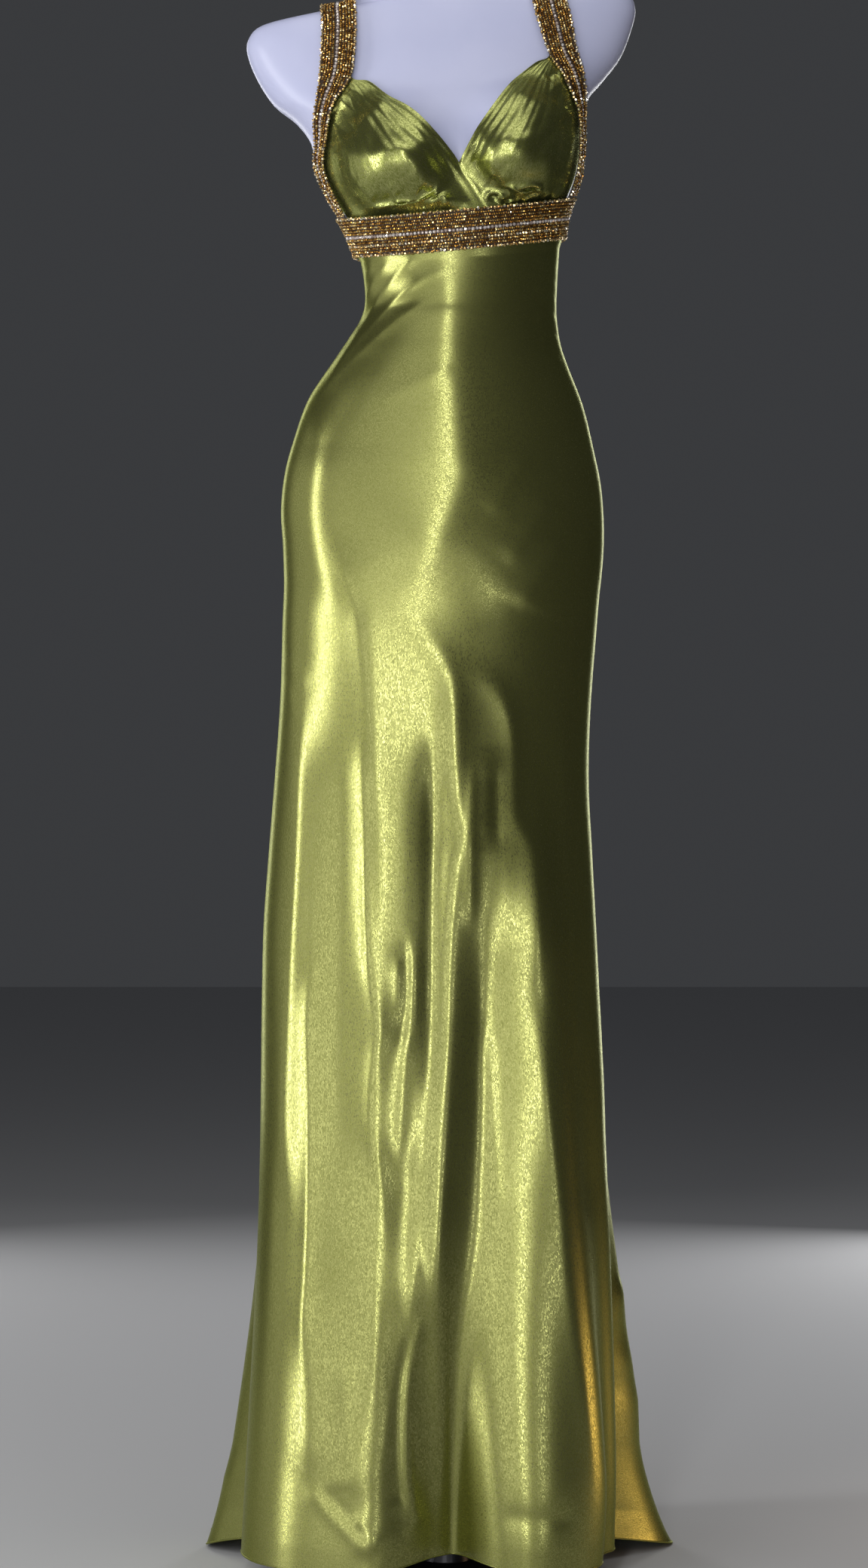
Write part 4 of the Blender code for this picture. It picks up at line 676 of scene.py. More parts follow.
# ---------------------------------------------------------------- shapes
@dataclass
class TorsoShape:
    """The dress form's surface, by ring step and angle, or by a place (x, z) on its front."""

    rings: Array = field(default_factory=lambda: np.array(FORM_RINGS))

    def ring_points(self, rows: Array, angle: Array) -> Array:
        """The rings' points at the angles, with one ring's row for each angle."""
        left_x, left_z, right_x, right_z, middle_y, front, back, square = rows[:, :8].T
        across, ahead = np.sin(np.radians(angle)), np.cos(np.radians(angle))
        x = (left_x + right_x) / 2
        x = x + (right_x - left_x) / 2 * np.copysign(np.abs(across) ** (2 / square), across)
        depth = np.where(ahead > 0, front, back)
        y = middle_y - depth * np.copysign(np.abs(ahead) ** (2 / square), ahead)
        z = left_z + (right_z - left_z) * (x - left_x) / (right_x - left_x)
        return points(x, y, z)

    def bust_reach(self, x: Array, z: Array) -> Array:
        """How far the bust stands out of the plain rings at the places."""
        reach = np.zeros(len(x))
        for middle_x, middle_z, height, across, below, above in BUST_MOUNDS:
            spread = np.where(z > middle_z, above, below)
            away = ((x - middle_x) / across) ** 2 + ((z - middle_z) / spread) ** 2
            reach += height * np.cos(math.pi / 2 * np.minimum(away, 1.0) ** 0.5) ** 2
        return reach

    def point(self, step: Array, angle: Array) -> Array:
        """Points of the form's surface, by ring and by degrees from the middle front."""
        place = self.ring_points(rows_at(self.rings, step), angle)
        ahead = np.cos(np.radians(angle))
        place[:, 1] -= self.bust_reach(place[:, 0], place[:, 2]) * ease(0.0, BUST_FULL_AHEAD, ahead)
        return place

    def step_at(self, x: Array, z: Array) -> Array:
        """Which ring of the form passes through each place."""
        def under(step: Array) -> Array:
            left_x, left_z, right_x, right_z = rows_at(self.rings, step)[:, :4].T
            return left_z + (right_z - left_z) * (x - left_x) / (right_x - left_x) < z

        first, last = np.zeros(len(x)), np.full(len(x), len(self.rings) - 1.0)
        return halved(first, last, FORM_HALVINGS, under)

    def front_y(self, x: Array, z: Array) -> Array:
        """How far forward the form's surface lies at each place."""
        row = rows_at(self.rings, self.step_at(x, z))
        left_x, right_x, middle_y, front, square = row[:, [0, 2, 4, 5, 7]].T
        aside = np.abs((x - (left_x + right_x) / 2) / ((right_x - left_x) / 2))
        aside = np.minimum(aside, SIDE_LIMIT)
        ahead = (1 - aside ** square) ** 0.5
        y = middle_y - front * (1 - aside ** square) ** (1 / square)
        return y - self.bust_reach(x, z) * ease(0.0, BUST_FULL_AHEAD, ahead)

    def off_front(self, x: Array, z: Array, distance: Array) -> Array:
        """Points a distance out from the form's front, measured level beside the band.

        Args:
            x: the places' x.
            z: the places' z.
            distance: how far out each point lies.

        Returns:
            The points.
        """
        step = 0.002
        y = self.front_y(x, z)
        slope_x = (self.front_y(x + step, z) - self.front_y(x - step, z)) / (2 * step)
        slope_z = (self.front_y(x, z + step) - self.front_y(x, z - step)) / (2 * step)
        slope_z = slope_z * ease(0.0, LEVEL_RISE, z - band_top_z(x, y))
        outward = units(points(slope_x, -1.0, slope_z))
        return points(x, y, z) + outward * distance[:, None]

    def at_band(self, angle: Array, drop: Array) -> Array:
        """The form's surface at the angles, that far below the band's top edge."""
        def under(step: Array) -> Array:
            place = self.point(step, angle)
            return place[:, 2] < band_top_z(place[:, 0], place[:, 1]) - drop

        first, last = (np.full(len(angle), ring) for ring in BUST_RINGS)
        return self.point(halved(first, last, BAND_HALVINGS, under), angle)

    def off_band(self, angle: Array, drop: Array, distance: float) -> tuple[Array, Array]:
        """Points level with at_band's, that far out from the form, and which way out is."""
        outward = level_outward(self.at_band(angle + 1.0, drop) - self.at_band(angle - 1.0, drop))
        return self.at_band(angle, drop) + outward * distance, outward

    def keep_clear(self, place: Array, air: float) -> Array:
        """The points, moved out where they stand less than the air off the form."""
        x, z = place[:, 0], place[:, 2]
        row = rows_at(self.rings, self.step_at(x, z))
        left_x, right_x, middle_y, front, back, square = row[:, [0, 2, 4, 5, 6, 7]].T
        middle = points((left_x + right_x) / 2, middle_y, z)
        away = place - middle
        depth = np.where(away[:, 1] < 0, front, back)
        size = np.abs(away[:, 0] / ((right_x - left_x) / 2)) ** square
        size = np.maximum((size + np.abs(away[:, 1] / depth) ** square) ** (1 / square), 0.01)
        length = np.linalg.norm(away, axis=1)
        needed = np.maximum((length / size + air) / length, 1.0)
        inside = (z > self.rings[0][1]) & (z < self.rings[SKIRTED_RINGS][1])
        return middle + away * np.where(inside, needed, 1.0)[:, None]


def band_top_z(x: Array, y: Array) -> Array:
    """Height of the band's top edge above points of the plan."""
    return BAND_MIDDLE_Z + BAND_SLOPE * x + BAND_FRONT_DIP * np.minimum(y, 0.0)


@dataclass
class SkirtShape:
    """The skirt's middle surface, from the seam on the band to the hem."""

    torso: TorsoShape
    rings: Array = field(default_factory=lambda: np.array(SKIRT_RINGS))
    half_turn: float = 90.0 - math.degrees(SEAM_GAP / SEAM_RADIUS)
    train_rows: int = 6
    seam_dip: float = 0.0007
    seam_dip_width: float = 0.9
    flute_growth: float = 1.4           # how late a flute grows on its way down
    fold_room: float = 0.3              # beside the side seams, where folds run out
    train_turn: Pair = (66.0, 88.0)     # degrees from the back where its edge rises to the hem
    train_sweep: float = 6.0            # how much sooner a longer train comes down to the floor
    train_spread: float = 1.5           # how late it runs out
    fold_foot: float = 0.1              # the train's reach at which its folds stand in full

    def flute_reach(self, angle: Array, z: Array) -> Array:
        """How far the flutes throw the skirt out, or draw it in."""
        reach = np.zeros(len(angle))
        for top, hem, top_width, hem_width, start_z, full_z, hem_reach in FLUTES:
            share = np.clip((start_z - z) / (start_z - full_z), 0.0, 1.0)
            width = top_width + (hem_width - top_width) * share
            turn = turn_between(angle, top + (hem - top) * share)
            reach += hem_reach * share ** self.flute_growth * np.exp(-(turn / width) ** 2)
        return reach

    def point(self, step: Array, angle: Array, side: Side) -> Array:
        """Points of the skirt's middle surface.

        Args:
            step: the ring of each point.
            angle: degrees from the middle front.
            side: the panel the points lie on.

        Returns:
            The points.
        """
        ring_step = np.maximum(step, 1.0)
        row = rows_at(self.rings, ring_step)
        place = self.torso.ring_points(row, angle)
        outward = level_outward(self.torso.ring_points(row, angle + 0.5)
                                - self.torso.ring_points(row, angle - 0.5))
        ahead = np.cos(np.radians(angle))
        place[:, 2] -= row[:, 8] * np.maximum(ahead, 0.0)
        reach = self.flute_reach(angle, place[:, 2])
        folds = fold_reach(SKIRT_FOLDS, side, place[:, 0], place[:, 2])
        reach += folds * ease(0.0, self.fold_room, np.abs(ahead))
        from_seam = 90.0 - np.abs(turn_between(angle, 90.0 - 90.0 * side.value))
        reach -= self.seam_dip * np.exp(-(from_seam / self.seam_dip_width) ** 2)
        place = self.torso.keep_clear(place + outward * reach[:, None], FORM_GAP + SATIN_WALL / 2)
        seam_off = BAND_OFF_FORM - BAND_SEAM_GAP - SATIN_WALL / 2
        top = step < 1.0
        if top.any():
            drop = np.full(top.sum(), BAND_HEIGHT - BAND_LAP)
            seam, _ = self.torso.off_band(angle[top], drop, seam_off)
            share = step[top, None]
            place[top] = seam + (place[top] - seam) * share
        return place

    def front(self, across: Array, down: Array) -> Array:
        """The front panel, from its right side seam to its left one and from band to hem."""
        angle = -self.half_turn + 2 * self.half_turn * across
        place = self.point(down * (len(self.rings) - 1), angle, Side.FRONT)
        arch_x, arch_half_width, arch_rise = HEM_ARCH
        rise = arch_rise * np.exp(-((place[:, 0] - arch_x) / arch_half_width) ** 2)
        hem_z, flare_z = self.rings[-1][1], self.rings[FLARE_ROW][1]
        place[:, 2] += rise * (1 - ease(hem_z, flare_z, place[:, 2]))
        return place

    def back(self, across: Array, down: Array) -> Array:
        """The back panel, from its left side seam round to its right one, and its train."""
        from_back = -self.half_turn + 2 * self.half_turn * across
        angle = 180.0 + from_back
        rings_below = len(self.rings) - 1 - FLARE_ROW
        row = down * (FLARE_ROW + self.train_rows)
        share = np.clip((row - FLARE_ROW) / self.train_rows, 0.0, 1.0)
        step = np.where(row <= FLARE_ROW, row, FLARE_ROW + share * rings_below)
        place = self.point(step, angle, Side.BACK)
        flare_z, hem_z = self.rings[FLARE_ROW][1], self.rings[-1][1]
        reach = eased_table(TRAIN_REACH, from_back)
        floor_z = SATIN_WALL / 2 + FLOOR_GAP
        end_z = floor_z + (hem_z - floor_z) * ease(*self.train_turn, np.abs(from_back))
        steepness = 1.0 + self.train_sweep * reach
        low = share > 0.0
        train_z = end_z + (flare_z - end_z) * (1 - share) ** steepness
        place[low, 2] = train_z[low]
        away = units(points(place[:, 0], place[:, 1], 0.0))
        place += away * (reach * share ** self.train_spread)[:, None]
        for fold_angle, width, height in TRAIN_FOLDS:
            lift = height * np.exp(-(turn_between(angle, fold_angle) / width) ** 2)
            lift = lift * np.sin(math.pi * share) * np.minimum(reach / self.fold_foot, 1.0)
            place[:, 2] += lift
        return place


@dataclass
class CupShape:
    """A cup's middle surface, from the strap's end to the band.

    overlap is how much further out the upper cup stands where it laps over the other one.
    """

    torso: TorsoShape
    outer: tuple[Pair, ...]
    neck: tuple[Pair, ...]
    folds: tuple[Fold, ...]
    pleats: tuple[Pleat, ...]
    overlap: float
    edge_roll: float = 0.0006
    edge_roll_width: float = 0.0020
    lap_down: float = 0.955             # the share of the way down where the band's edge is met
    over_band: float = 0.0010
    pleat_ends: Pair = (0.18, 0.22)
    pleat_depth: float = 0.45
    strap_pleats: float = 0.12          # what is left of that depth beside the strap
    pleats_full: Pair = (0.15, 0.60)
    chest_z: Pair = (1.485, 1.525)
    overlap_x: Pair = (-0.058, -0.026)
    puff_rise: tuple[float, float, float, float] = (0.0, 0.012, 0.030, 0.110)
    puff_run: float = 0.030
    flat_edge: Pair = (0.35, 0.010)  # what is left of folds at an edge, and how wide
    fold_end: float = 0.004
    least_off: float = 0.72

    def point(self, across: Array, down: Array) -> Array:
        """Points of the cup: across from its armhole edge, down from the strap.

        Args:
            across: 0 at the armhole edge to 1 at the neckline.
            down: 0 at the strap to 1 at the lower edge, tucked behind the band.

        Returns:
            The points.
        """
        across = across ** CUP_COLUMN_CROWDING
        share = np.minimum(down / self.lap_down, 1.0)
        outer, neck = np.array(self.outer), np.array(self.neck)
        low = rows_at(outer, share * (len(outer) - 1))
        high = rows_at(neck, share * (len(neck) - 1))
        place = low + (high - low) * across[:, None]
        foot = outer[-1] + (neck[-1] - outer[-1]) * across[:, None]
        band_z = foot[:, 1]
        for _ in range(3):
            band_z = band_top_z(foot[:, 0], self.torso.front_y(foot[:, 0], band_z))
        x, z = place[:, 0], place[:, 1] + (band_z + self.over_band - foot[:, 1]) * share ** 2
        z = z - BAND_LAP * np.clip((down - self.lap_down) / (1.0 - self.lap_down), 0.0, 1.0)
        return self.cloth(x, z, low[:, 0], high[:, 0], self.pleat_reach(across, share))

    def pleat_reach(self, across: Array, share: Array) -> Array:
        """How far the gathers throw the cloth out at shares across and down the cup."""
        reach = np.zeros(len(across))
        upper, lower = self.pleat_ends
        for pleat in self.pleats:
            line = pleat.top + (pleat.foot - pleat.top) * share
            near = np.exp(-((across - line) / pleat.width) ** 2)
            ends = ease(pleat.start, pleat.start + upper, share)
            ends = ends * (1 - ease(pleat.end - lower, pleat.end, share))
            reach = reach + pleat.height * near * ends
        full = self.strap_pleats + (1 - self.strap_pleats) * ease(*self.pleats_full, share)
        return self.pleat_depth * reach * full

    def cloth(self, x: Array, z: Array, outer_x: Array, neck_x: Array, pleats: Array) -> Array:
        """The cup's satin at places between its two edges, whose x are given too."""
        off = CUP_OFF_FORM + CUP_OFF_CHEST * ease(*self.chest_z, z)
        if self.overlap:
            inside = np.minimum(neck_x - x, x - outer_x)
            off = off + self.overlap * ease(*self.overlap_x, x)
            edge = neck_x - x
        else:
            lap = (LAP_TOP[1] - z) / (LAP_TOP[1] - LAP_FOOT[1])
            lap_x = LAP_TOP[0] + (LAP_FOOT[0] - LAP_TOP[0]) * np.maximum(lap, 0.0)
            inside = np.minimum(x - np.maximum(neck_x, lap_x), outer_x - x)
            edge = x - neck_x
        above_band = z - band_top_z(x, self.torso.front_y(x, z))
        rise = ease(*self.puff_rise[:2], above_band) * (1 - ease(*self.puff_rise[2:], above_band))
        puff = CUP_PUFF * rise * ease(CUP_LEVEL_EDGE, CUP_LEVEL_EDGE + self.puff_run, inside)
        folds = fold_reach(self.folds, Side.FRONT, x, z) + pleats
        folds = folds * ease(-self.fold_end, self.fold_end, above_band)
        left, room = self.flat_edge
        folds = folds * (left + (1 - left) * ease(0.0, room, inside))
        roll = self.edge_roll * np.exp(-(edge / self.edge_roll_width) ** 2)
        off = np.maximum(off + puff + folds + roll, off * self.least_off)
        return self.torso.off_front(x, z, off)


# ---------------------------------------------------------------- finishes
Tree = bpy.types.NodeTree
Node = bpy.types.Node
Socket = bpy.types.NodeSocket
Colour = tuple[float, float, float, float]


def feed(tree: Tree, node: Node, **values: object) -> None:
    """Set a node's inputs, or link them where the value is another node's output.

    Args:
        tree: the node tree.
        node: the node.
        values: by the input's name, with _ for each space, or as in_ and its number.
    """
    for name, value in values.items():
        label = name.removeprefix("in_").replace("_", " ")
        socket = node.inputs[int(label) if label.isdigit() else label]
        if isinstance(value, Socket):
            tree.links.new(value, socket)
        else:
            socket.default_value = value


def add_node(tree: Tree, kind: str, **values: object) -> Node:
    """Add a node and set what is given: properties by name, inputs by name with in_ before it.

    Args:
        tree: the node tree.
        kind: the node's type, without the word that all of them start with.
        values: properties, and inputs' values or the outputs that feed them.

    Returns:
        The node.
    """
    node = tree.nodes.new("ShaderNode" + kind)
    for name, value in values.items():
        if name.startswith("in_"):
            feed(tree, node, **{name: value})
        else:
            setattr(node, name, value)
    return node


def product(tree: Tree, value: Socket, factor: float, more: Socket | None = None) -> Socket:
    """A value times a factor, with another value added where one is given."""
    kind = "MULTIPLY" if more is None else "MULTIPLY_ADD"
    node = add_node(tree, "Math", operation=kind, in_0=value, in_1=factor)
    if more is not None:
        feed(tree, node, in_2=more)
    return node.outputs[0]


def bumped(tree: Tree, height: Socket, strength: float, distance: float) -> Socket:
    """The normal of a surface with that height on it."""
    bump = add_node(tree, "Bump", in_Strength=strength, in_Distance=distance, in_Height=height)
    return bump.outputs["Normal"]


def ramp_between(tree: Tree, source: Socket, low: float, high: float, dark: Colour,
                 light: Colour) -> Node:
    """A colour ramp from dark to light, as a value runs from low to high."""
    ramp = add_node(tree, "ValToRGB", in_Fac=source)
    for stop, position, colour in zip(ramp.color_ramp.elements, (low, high), (dark, light)):
        stop.position, stop.color = position, colour
    return ramp


def new_material(name: str, **values: object) -> tuple[Material, Tree, Node]:
    """A material, its tree and its Principled shader, with the shader's inputs as in feed."""
    material = bpy.data.materials.new(name)
    material.use_nodes = True
    tree = material.node_tree
    shader = tree.nodes["Principled BSDF"]
    feed(tree, shader, **values)
    return material, tree, shader


def satin_grain() -> Tree:
    """The satin's grain: thread lines, fine slubs that catch the light, and a slow unevenness."""
    group = bpy.data.node_groups.get("satin_grain")
    if group:
        return group
    group = bpy.data.node_groups.new("satin_grain", "ShaderNodeTree")
    group.interface.new_socket("Vector", in_out="INPUT", socket_type="NodeSocketVector")
    for label, usual in (("Glint size", 900.0), ("Thread size", 700.0)):
        size = group.interface.new_socket(label, in_out="INPUT", socket_type="NodeSocketFloat")
        size.default_value = usual
    for label in ("Glint", "Thread", "Cloud"):
        group.interface.new_socket(label, in_out="OUTPUT", socket_type="NodeSocketFloat")
    given = group.nodes.new("NodeGroupInput").outputs
    glint = add_node(group, "TexVoronoi", in_Vector=given["Vector"], in_Scale=given["Glint size"])
    thread = add_node(group, "TexWave", bands_direction="DIAGONAL", in_Distortion=1.6,
                      in_Detail=1.0, in_Vector=given["Vector"], in_Scale=given["Thread size"])
    cloud = add_node(group, "TexNoise", in_Scale=7.0, in_Detail=3.0, in_Vector=given["Vector"])
    feed(group, group.nodes.new("NodeGroupOutput"), Glint=glint.outputs["Color"],
         Thread=thread.outputs["Fac"], Cloud=cloud.outputs[0])
    return group


@dataclass(frozen=True)
class SatinFinish:
    """Bias-cut satin: a broad soft shine broken by fine glinting slubs."""

    name: str
    dark: Colour
    light: Colour
    roughness: float = 0.33
    metallic: float = 0.95
    coat: float = 0.14
    coat_roughness: float = 0.24
    glint_share: float = 0.11
    bump: float = 0.03
    glint_size: float = 1150.0
    streak: float = 0.0

    def material(self) -> Material:
        """Build the material on the piece's own cut, in metres, from its UV map."""
        material, tree, shader = new_material(
            self.name, Metallic=self.metallic, Roughness=self.roughness,
            Specular_IOR_Level=0.5, Specular_Tint=(0.55, 0.58, 0.30, 1.0),
            Coat_Weight=self.coat, Coat_Roughness=self.coat_roughness, Coat_IOR=1.6,
            Sheen_Weight=0.05, Sheen_Roughness=0.4, Sheen_Tint=(0.9, 0.95, 0.6, 1.0))
        place = add_node(tree, "UVMap", uv_map="cut").outputs["UV"]
        bias = add_node(tree, "Mapping", in_Vector=place, in_Scale=(1.0, 0.7, 1.0),
                        in_Rotation=(0.0, 0.0, math.radians(38)))
        grain = add_node(tree, "Group", node_tree=satin_grain(), in_Glint_size=self.glint_size,
                         in_Vector=bias.outputs["Vector"])
        glint, thread, cloud = grain.outputs
        tone = product(tree, glint, 0.7, product(tree, cloud, 0.3))
        colour = ramp_between(tree, tone, 0.15, 0.85, self.dark, self.light)
        gloss = add_node(tree, "MapRange", in_Value=glint, in_From_Min=0.1, in_From_Max=0.9,
                         in_To_Min=self.roughness + self.glint_share,
                         in_To_Max=self.roughness - self.glint_share)
        height = product(tree, thread, 0.35, glint)
        if self.streak:
            height = self.with_streaks(tree, place, height)
        normal = bumped(tree, height, self.bump, 0.0004)
        feed(tree, shader, Base_Color=colour.outputs["Color"], Roughness=gloss.outputs["Result"],
             Normal=normal, Coat_Normal=normal)
        return material

    def with_streaks(self, tree: Tree, place: Socket, height: Socket) -> Socket:
        """Add fine drawn threads that run down the cut to the grain's height."""
        drawn = add_node(tree, "Mapping", in_Vector=place, in_Scale=(620.0, 12.0, 1.0))
        streak = add_node(tree, "TexNoise", in_Scale=1.0, in_Detail=2.0,
                          in_Vector=drawn.outputs["Vector"])
        return product(tree, streak.outputs[0], self.streak, height)


@dataclass(frozen=True)
class BeadFinish:
    """Cut beads, each with its own tone along three colours."""

    name: str
    dark: Colour
    middle: Colour
    light: Colour
    roughness: float = 0.20
    metallic: float = 0.90

    def material(self) -> Material:
        """Build the material on the beads' own tone attribute."""
        material, tree, shader = new_material(
            self.name, Metallic=self.metallic, Roughness=self.roughness, Coat_Weight=0.2,
            Coat_Roughness=0.06, IOR=1.6)
        tone = add_node(tree, "Attribute", attribute_name="tone")
        colour = ramp_between(tree, tone.outputs["Fac"], 0.0, 1.0, self.dark, self.light)
        colour.color_ramp.elements.new(0.62).color = self.middle
        feed(tree, shader, Base_Color=colour.outputs["Color"])
        return material


@dataclass(frozen=True)
class NetFinish:
    """The close-woven net that the beads are sewn to."""

    name: str = "bead_net"
    dark: Colour = (0.016, 0.007, 0.003, 1.0)
    light: Colour = (0.075, 0.034, 0.012, 1.0)

    def material(self) -> Material:
        """Build the material on the piece's own coordinates."""
        material, tree, shader = new_material(self.name, Roughness=0.62, Sheen_Weight=0.2)
        place = add_node(tree, "TexCoord").outputs["Object"]
        holes = add_node(tree, "TexVoronoi", in_Vector=place, in_Scale=900.0).outputs["Distance"]
        colour = ramp_between(tree, holes, 0.1, 0.7, self.light, self.dark)
        feed(tree, shader, Base_Color=colour.outputs["Color"],
             Normal=bumped(tree, holes, 0.5, 0.0003))
        return material


@dataclass(frozen=True)
class SmoothFinish:
    """A sprayed or coated surface with a faint orange-peel and a slow change of tone."""

    name: str
    dark: Colour
    light: Colour
    roughness: float
    metallic: float = 0.0
    peel: float = 0.03
    coat: float = 0.0

    def material(self) -> Material:
        """Build the material on the piece's own coordinates."""
        material, tree, shader = new_material(
            self.name, Metallic=self.metallic, Roughness=self.roughness, Coat_Weight=self.coat,
            Coat_Roughness=0.25)
        place = add_node(tree, "TexCoord").outputs["Object"]
        cloud, peel = (add_node(tree, "TexNoise", in_Vector=place, in_Scale=scale,
                                in_Detail=detail).outputs[0]
                       for scale, detail in ((9.0, 4.0), (420.0, 2.0)))
        colour = ramp_between(tree, cloud, 0.35, 0.65, self.dark, self.light)
        gloss = add_node(tree, "MapRange", in_Value=cloud, in_To_Min=self.roughness - 0.04,
                         in_To_Max=self.roughness + 0.05)
        feed(tree, shader, Base_Color=colour.outputs["Color"], Roughness=gloss.outputs["Result"],
             Normal=bumped(tree, peel, self.peel, 0.0005))
        return material


SATIN = SatinFinish("satin_olive", (0.198, 0.208, 0.050, 1.0), (0.392, 0.396, 0.136, 1.0))
CUP_SATIN = SatinFinish("satin_olive_cups", (0.175, 0.200, 0.034, 1.0),
                        (0.480, 0.495, 0.180, 1.0), roughness=0.31, bump=0.07, streak=2.0)
GOLD_BEADS = BeadFinish("beads_gold", (0.20, 0.085, 0.012, 1.0), (0.62, 0.35, 0.07, 1.0),
                        (1.0, 0.84, 0.42, 1.0), roughness=0.15)
PALE_BEADS = BeadFinish("beads_pale", (0.60, 0.37, 0.13, 1.0), (0.90, 0.68, 0.34, 1.0),
                        (1.0, 0.95, 0.80, 1.0), roughness=0.12)
CRYSTALS = BeadFinish("crystals", (0.58, 0.47, 0.42, 1.0), (0.86, 0.78, 0.74, 1.0),
                      (1.0, 0.98, 0.96, 1.0), roughness=0.12, metallic=0.45)
NET = NetFinish()
FORM_SKIN = SmoothFinish("form_skin", (0.55, 0.575, 0.80, 1.0), (0.60, 0.62, 0.84, 1.0), 0.42,
                         coat=0.25)
DARK_METAL = SmoothFinish("dark_metal", (0.035, 0.035, 0.038, 1.0), (0.06, 0.06, 0.064, 1.0), 0.34,
                          metallic=0.85, peel=0.08)


# ---------------------------------------------------------------- mesh helpers
def in_scene(name: str, data: bpy.types.ID) -> bpy.types.Object:
    """A new object in the scene, with that mesh, light or camera."""
    thing = bpy.data.objects.new(name, data)
    bpy.context.scene.collection.objects.link(thing)
    return thing


def mesh_of(body: bmesh.types.BMesh, name: str) -> Mesh:
    """A new mesh from a bmesh, which is freed."""
    mesh = bpy.data.meshes.new(name)
    body.to_mesh(mesh)
    body.free()
    return mesh


def shade(mesh: Mesh, sharp: float) -> None:
    """Shade a mesh smooth but for edges sharper than an angle."""
    mesh.shade_smooth()
    mesh.set_sharp_from_angle(angle=sharp)


def new_piece(name: str, mesh: Mesh, finishes: Sequence[Material]) -> Piece:
    """Put a mesh in the scene as a piece that rides on the part's one body.

    Args:
        name: the piece's name.
        mesh: its mesh, in place.
        finishes: its materials.

    Returns:
        The piece.
    """
    piece = in_scene(name, mesh)
    for finish in finishes:
        mesh.materials.append(finish)
    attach(piece, "root")
    return piece


def give_wall(piece: Piece, thickness: float, sharp: float) -> None:
    """Make a sheet a closed shell, half its wall on each side, and shade it.

    Args:
        piece: the sheet.
        thickness: its wall.
        sharp: edges past this angle stay sharp.
    """
    shell = piece.modifiers.new("shell", "SOLIDIFY")
    shell.thickness = thickness
    shell.offset = 0.0
    depsgraph = bpy.context.evaluated_depsgraph_get()
    mesh = bpy.data.meshes.new_from_object(piece.evaluated_get(depsgraph))
    sheet = piece.data
    piece.modifiers.clear()
    piece.data = mesh
    mesh.name = sheet.name
    bpy.data.meshes.remove(sheet)
    shade(mesh, sharp)


def cloth_grid(name: str, columns: int, rows: int, place: Place,
               cut: Pair) -> Mesh:
    """A grid of cloth laid on a surface, with a UV map of its cut in metres.

    Args:
        name: the mesh's name.
        columns: vertices across.
        rows: vertices down.
        place: the surface, from shares across and down.
        cut: the cut's width and length.

    Returns:
        The mesh.
    """
    grid = bmesh.new()
    bmesh.ops.create_grid(grid, x_segments=columns - 1, y_segments=rows - 1, size=0.5)
    mesh = mesh_of(grid, name)
    flat = np.empty(len(mesh.vertices) * 3, np.float32)
    mesh.vertices.foreach_get("co", flat)
    flat = flat.reshape(-1, 3).astype(float)
    across, down = flat[:, 0] + 0.5, 0.5 - flat[:, 1]
    corners = np.empty(len(mesh.loops), np.int32)
    mesh.loops.foreach_get("vertex_index", corners)
    sheet_uv = np.stack([across * cut[0], down * cut[1]], axis=1)[corners]
    mesh.uv_layers.new(name="cut").data.foreach_set("uv", sheet_uv.astype(np.float32).ravel())
    mesh.vertices.foreach_set("co", place(across, down).astype(np.float32).ravel())
    mesh.update()
    return mesh


def area_of(mesh: Mesh) -> float:
    """The mesh's area in square metres."""
    areas = np.empty(len(mesh.polygons), np.float32)
    mesh.polygons.foreach_get("area", areas)
    return float(areas.sum())


def tube(name: str, path: Array, radius: float, sides: int = 6) -> Mesh:
    """A round cord along a path, with closed ends.

    Args:
        name: the mesh's name.
        path: its middle line.
        radius: its radius.
        sides: faces round it.

    Returns:
        The mesh.
    """
    body = bmesh.new()
    bmesh.ops.create_grid(body, x_segments=sides, y_segments=len(path) - 1, size=0.5)
    along = units(np.gradient(path, axis=0))
    side = units(np.cross(along, np.tile([0.13, 0.21, 0.97], (len(path), 1))))
    up = np.cross(side, along)
    for vertex in body.verts:
        row = round((vertex.co.y + 0.5) * (len(path) - 1))
        turn = 2 * math.pi * (vertex.co.x + 0.5)
        around = side[row] * math.cos(turn) + up[row] * math.sin(turn)
        vertex.co = path[row] + around * radius
    bmesh.ops.remove_doubles(body, verts=body.verts, dist=radius * 0.01)
    bmesh.ops.holes_fill(body, edges=body.edges, sides=sides)
    bmesh.ops.recalc_face_normals(body, faces=body.faces)
    mesh = mesh_of(body, name)
    mesh.shade_smooth()
    return mesh


# ---------------------------------------------------------------- beads
class BeadKind(Enum):
    """The beads and stones of the trim, each by its place among a piece's finishes."""

    SEED = 0
    EDGE = 1
    STONE = 2


@dataclass(frozen=True)
class BeadShape:
    """One cut bead: its radius along the thread, across it and out of the cloth.

    pitch is from bead to bead in a row, and turn is how far a bead may be turned.
    """

    along: float
    across: float
    out: float
    pitch: float
    turn: float = math.pi
    is_stone: bool = False

    def template(self) -> tuple[Array, Array]:
        """The corners and the three-cornered faces of a bead of radius one."""
        body = bmesh.new()
        if self.is_stone:
            bmesh.ops.create_cone(body, cap_ends=True, segments=8, radius1=1.0, radius2=0.52,
                                  depth=1.1)
            bmesh.ops.triangulate(body, faces=body.faces[:])
        else:
            bmesh.ops.create_icosphere(body, subdivisions=1, radius=1.0)
        body.verts.ensure_lookup_table()
        corners = np.array([vertex.co[:] for vertex in body.verts])
        faces = np.array([[vertex.index for vertex in face.verts] for face in body.faces])
        body.free()
        return corners, faces

    def turned(self, count: int) -> Array:
        """The corners of that many beads, each turned its own way."""
        corners = self.template()[0]
        axis = units(CHANCE.normal(size=(count, 3)))[:, None]
        angle = (self.turn * CHANCE.random(count))[:, None, None]
        beside = np.cross(axis, corners)
        straight = (axis * corners).sum(axis=2, keepdims=True) * axis
        turned = corners * np.cos(angle) + beside * np.sin(angle) + straight * (1 - np.cos(angle))
        return turned * np.array([self.along, self.across, self.out])


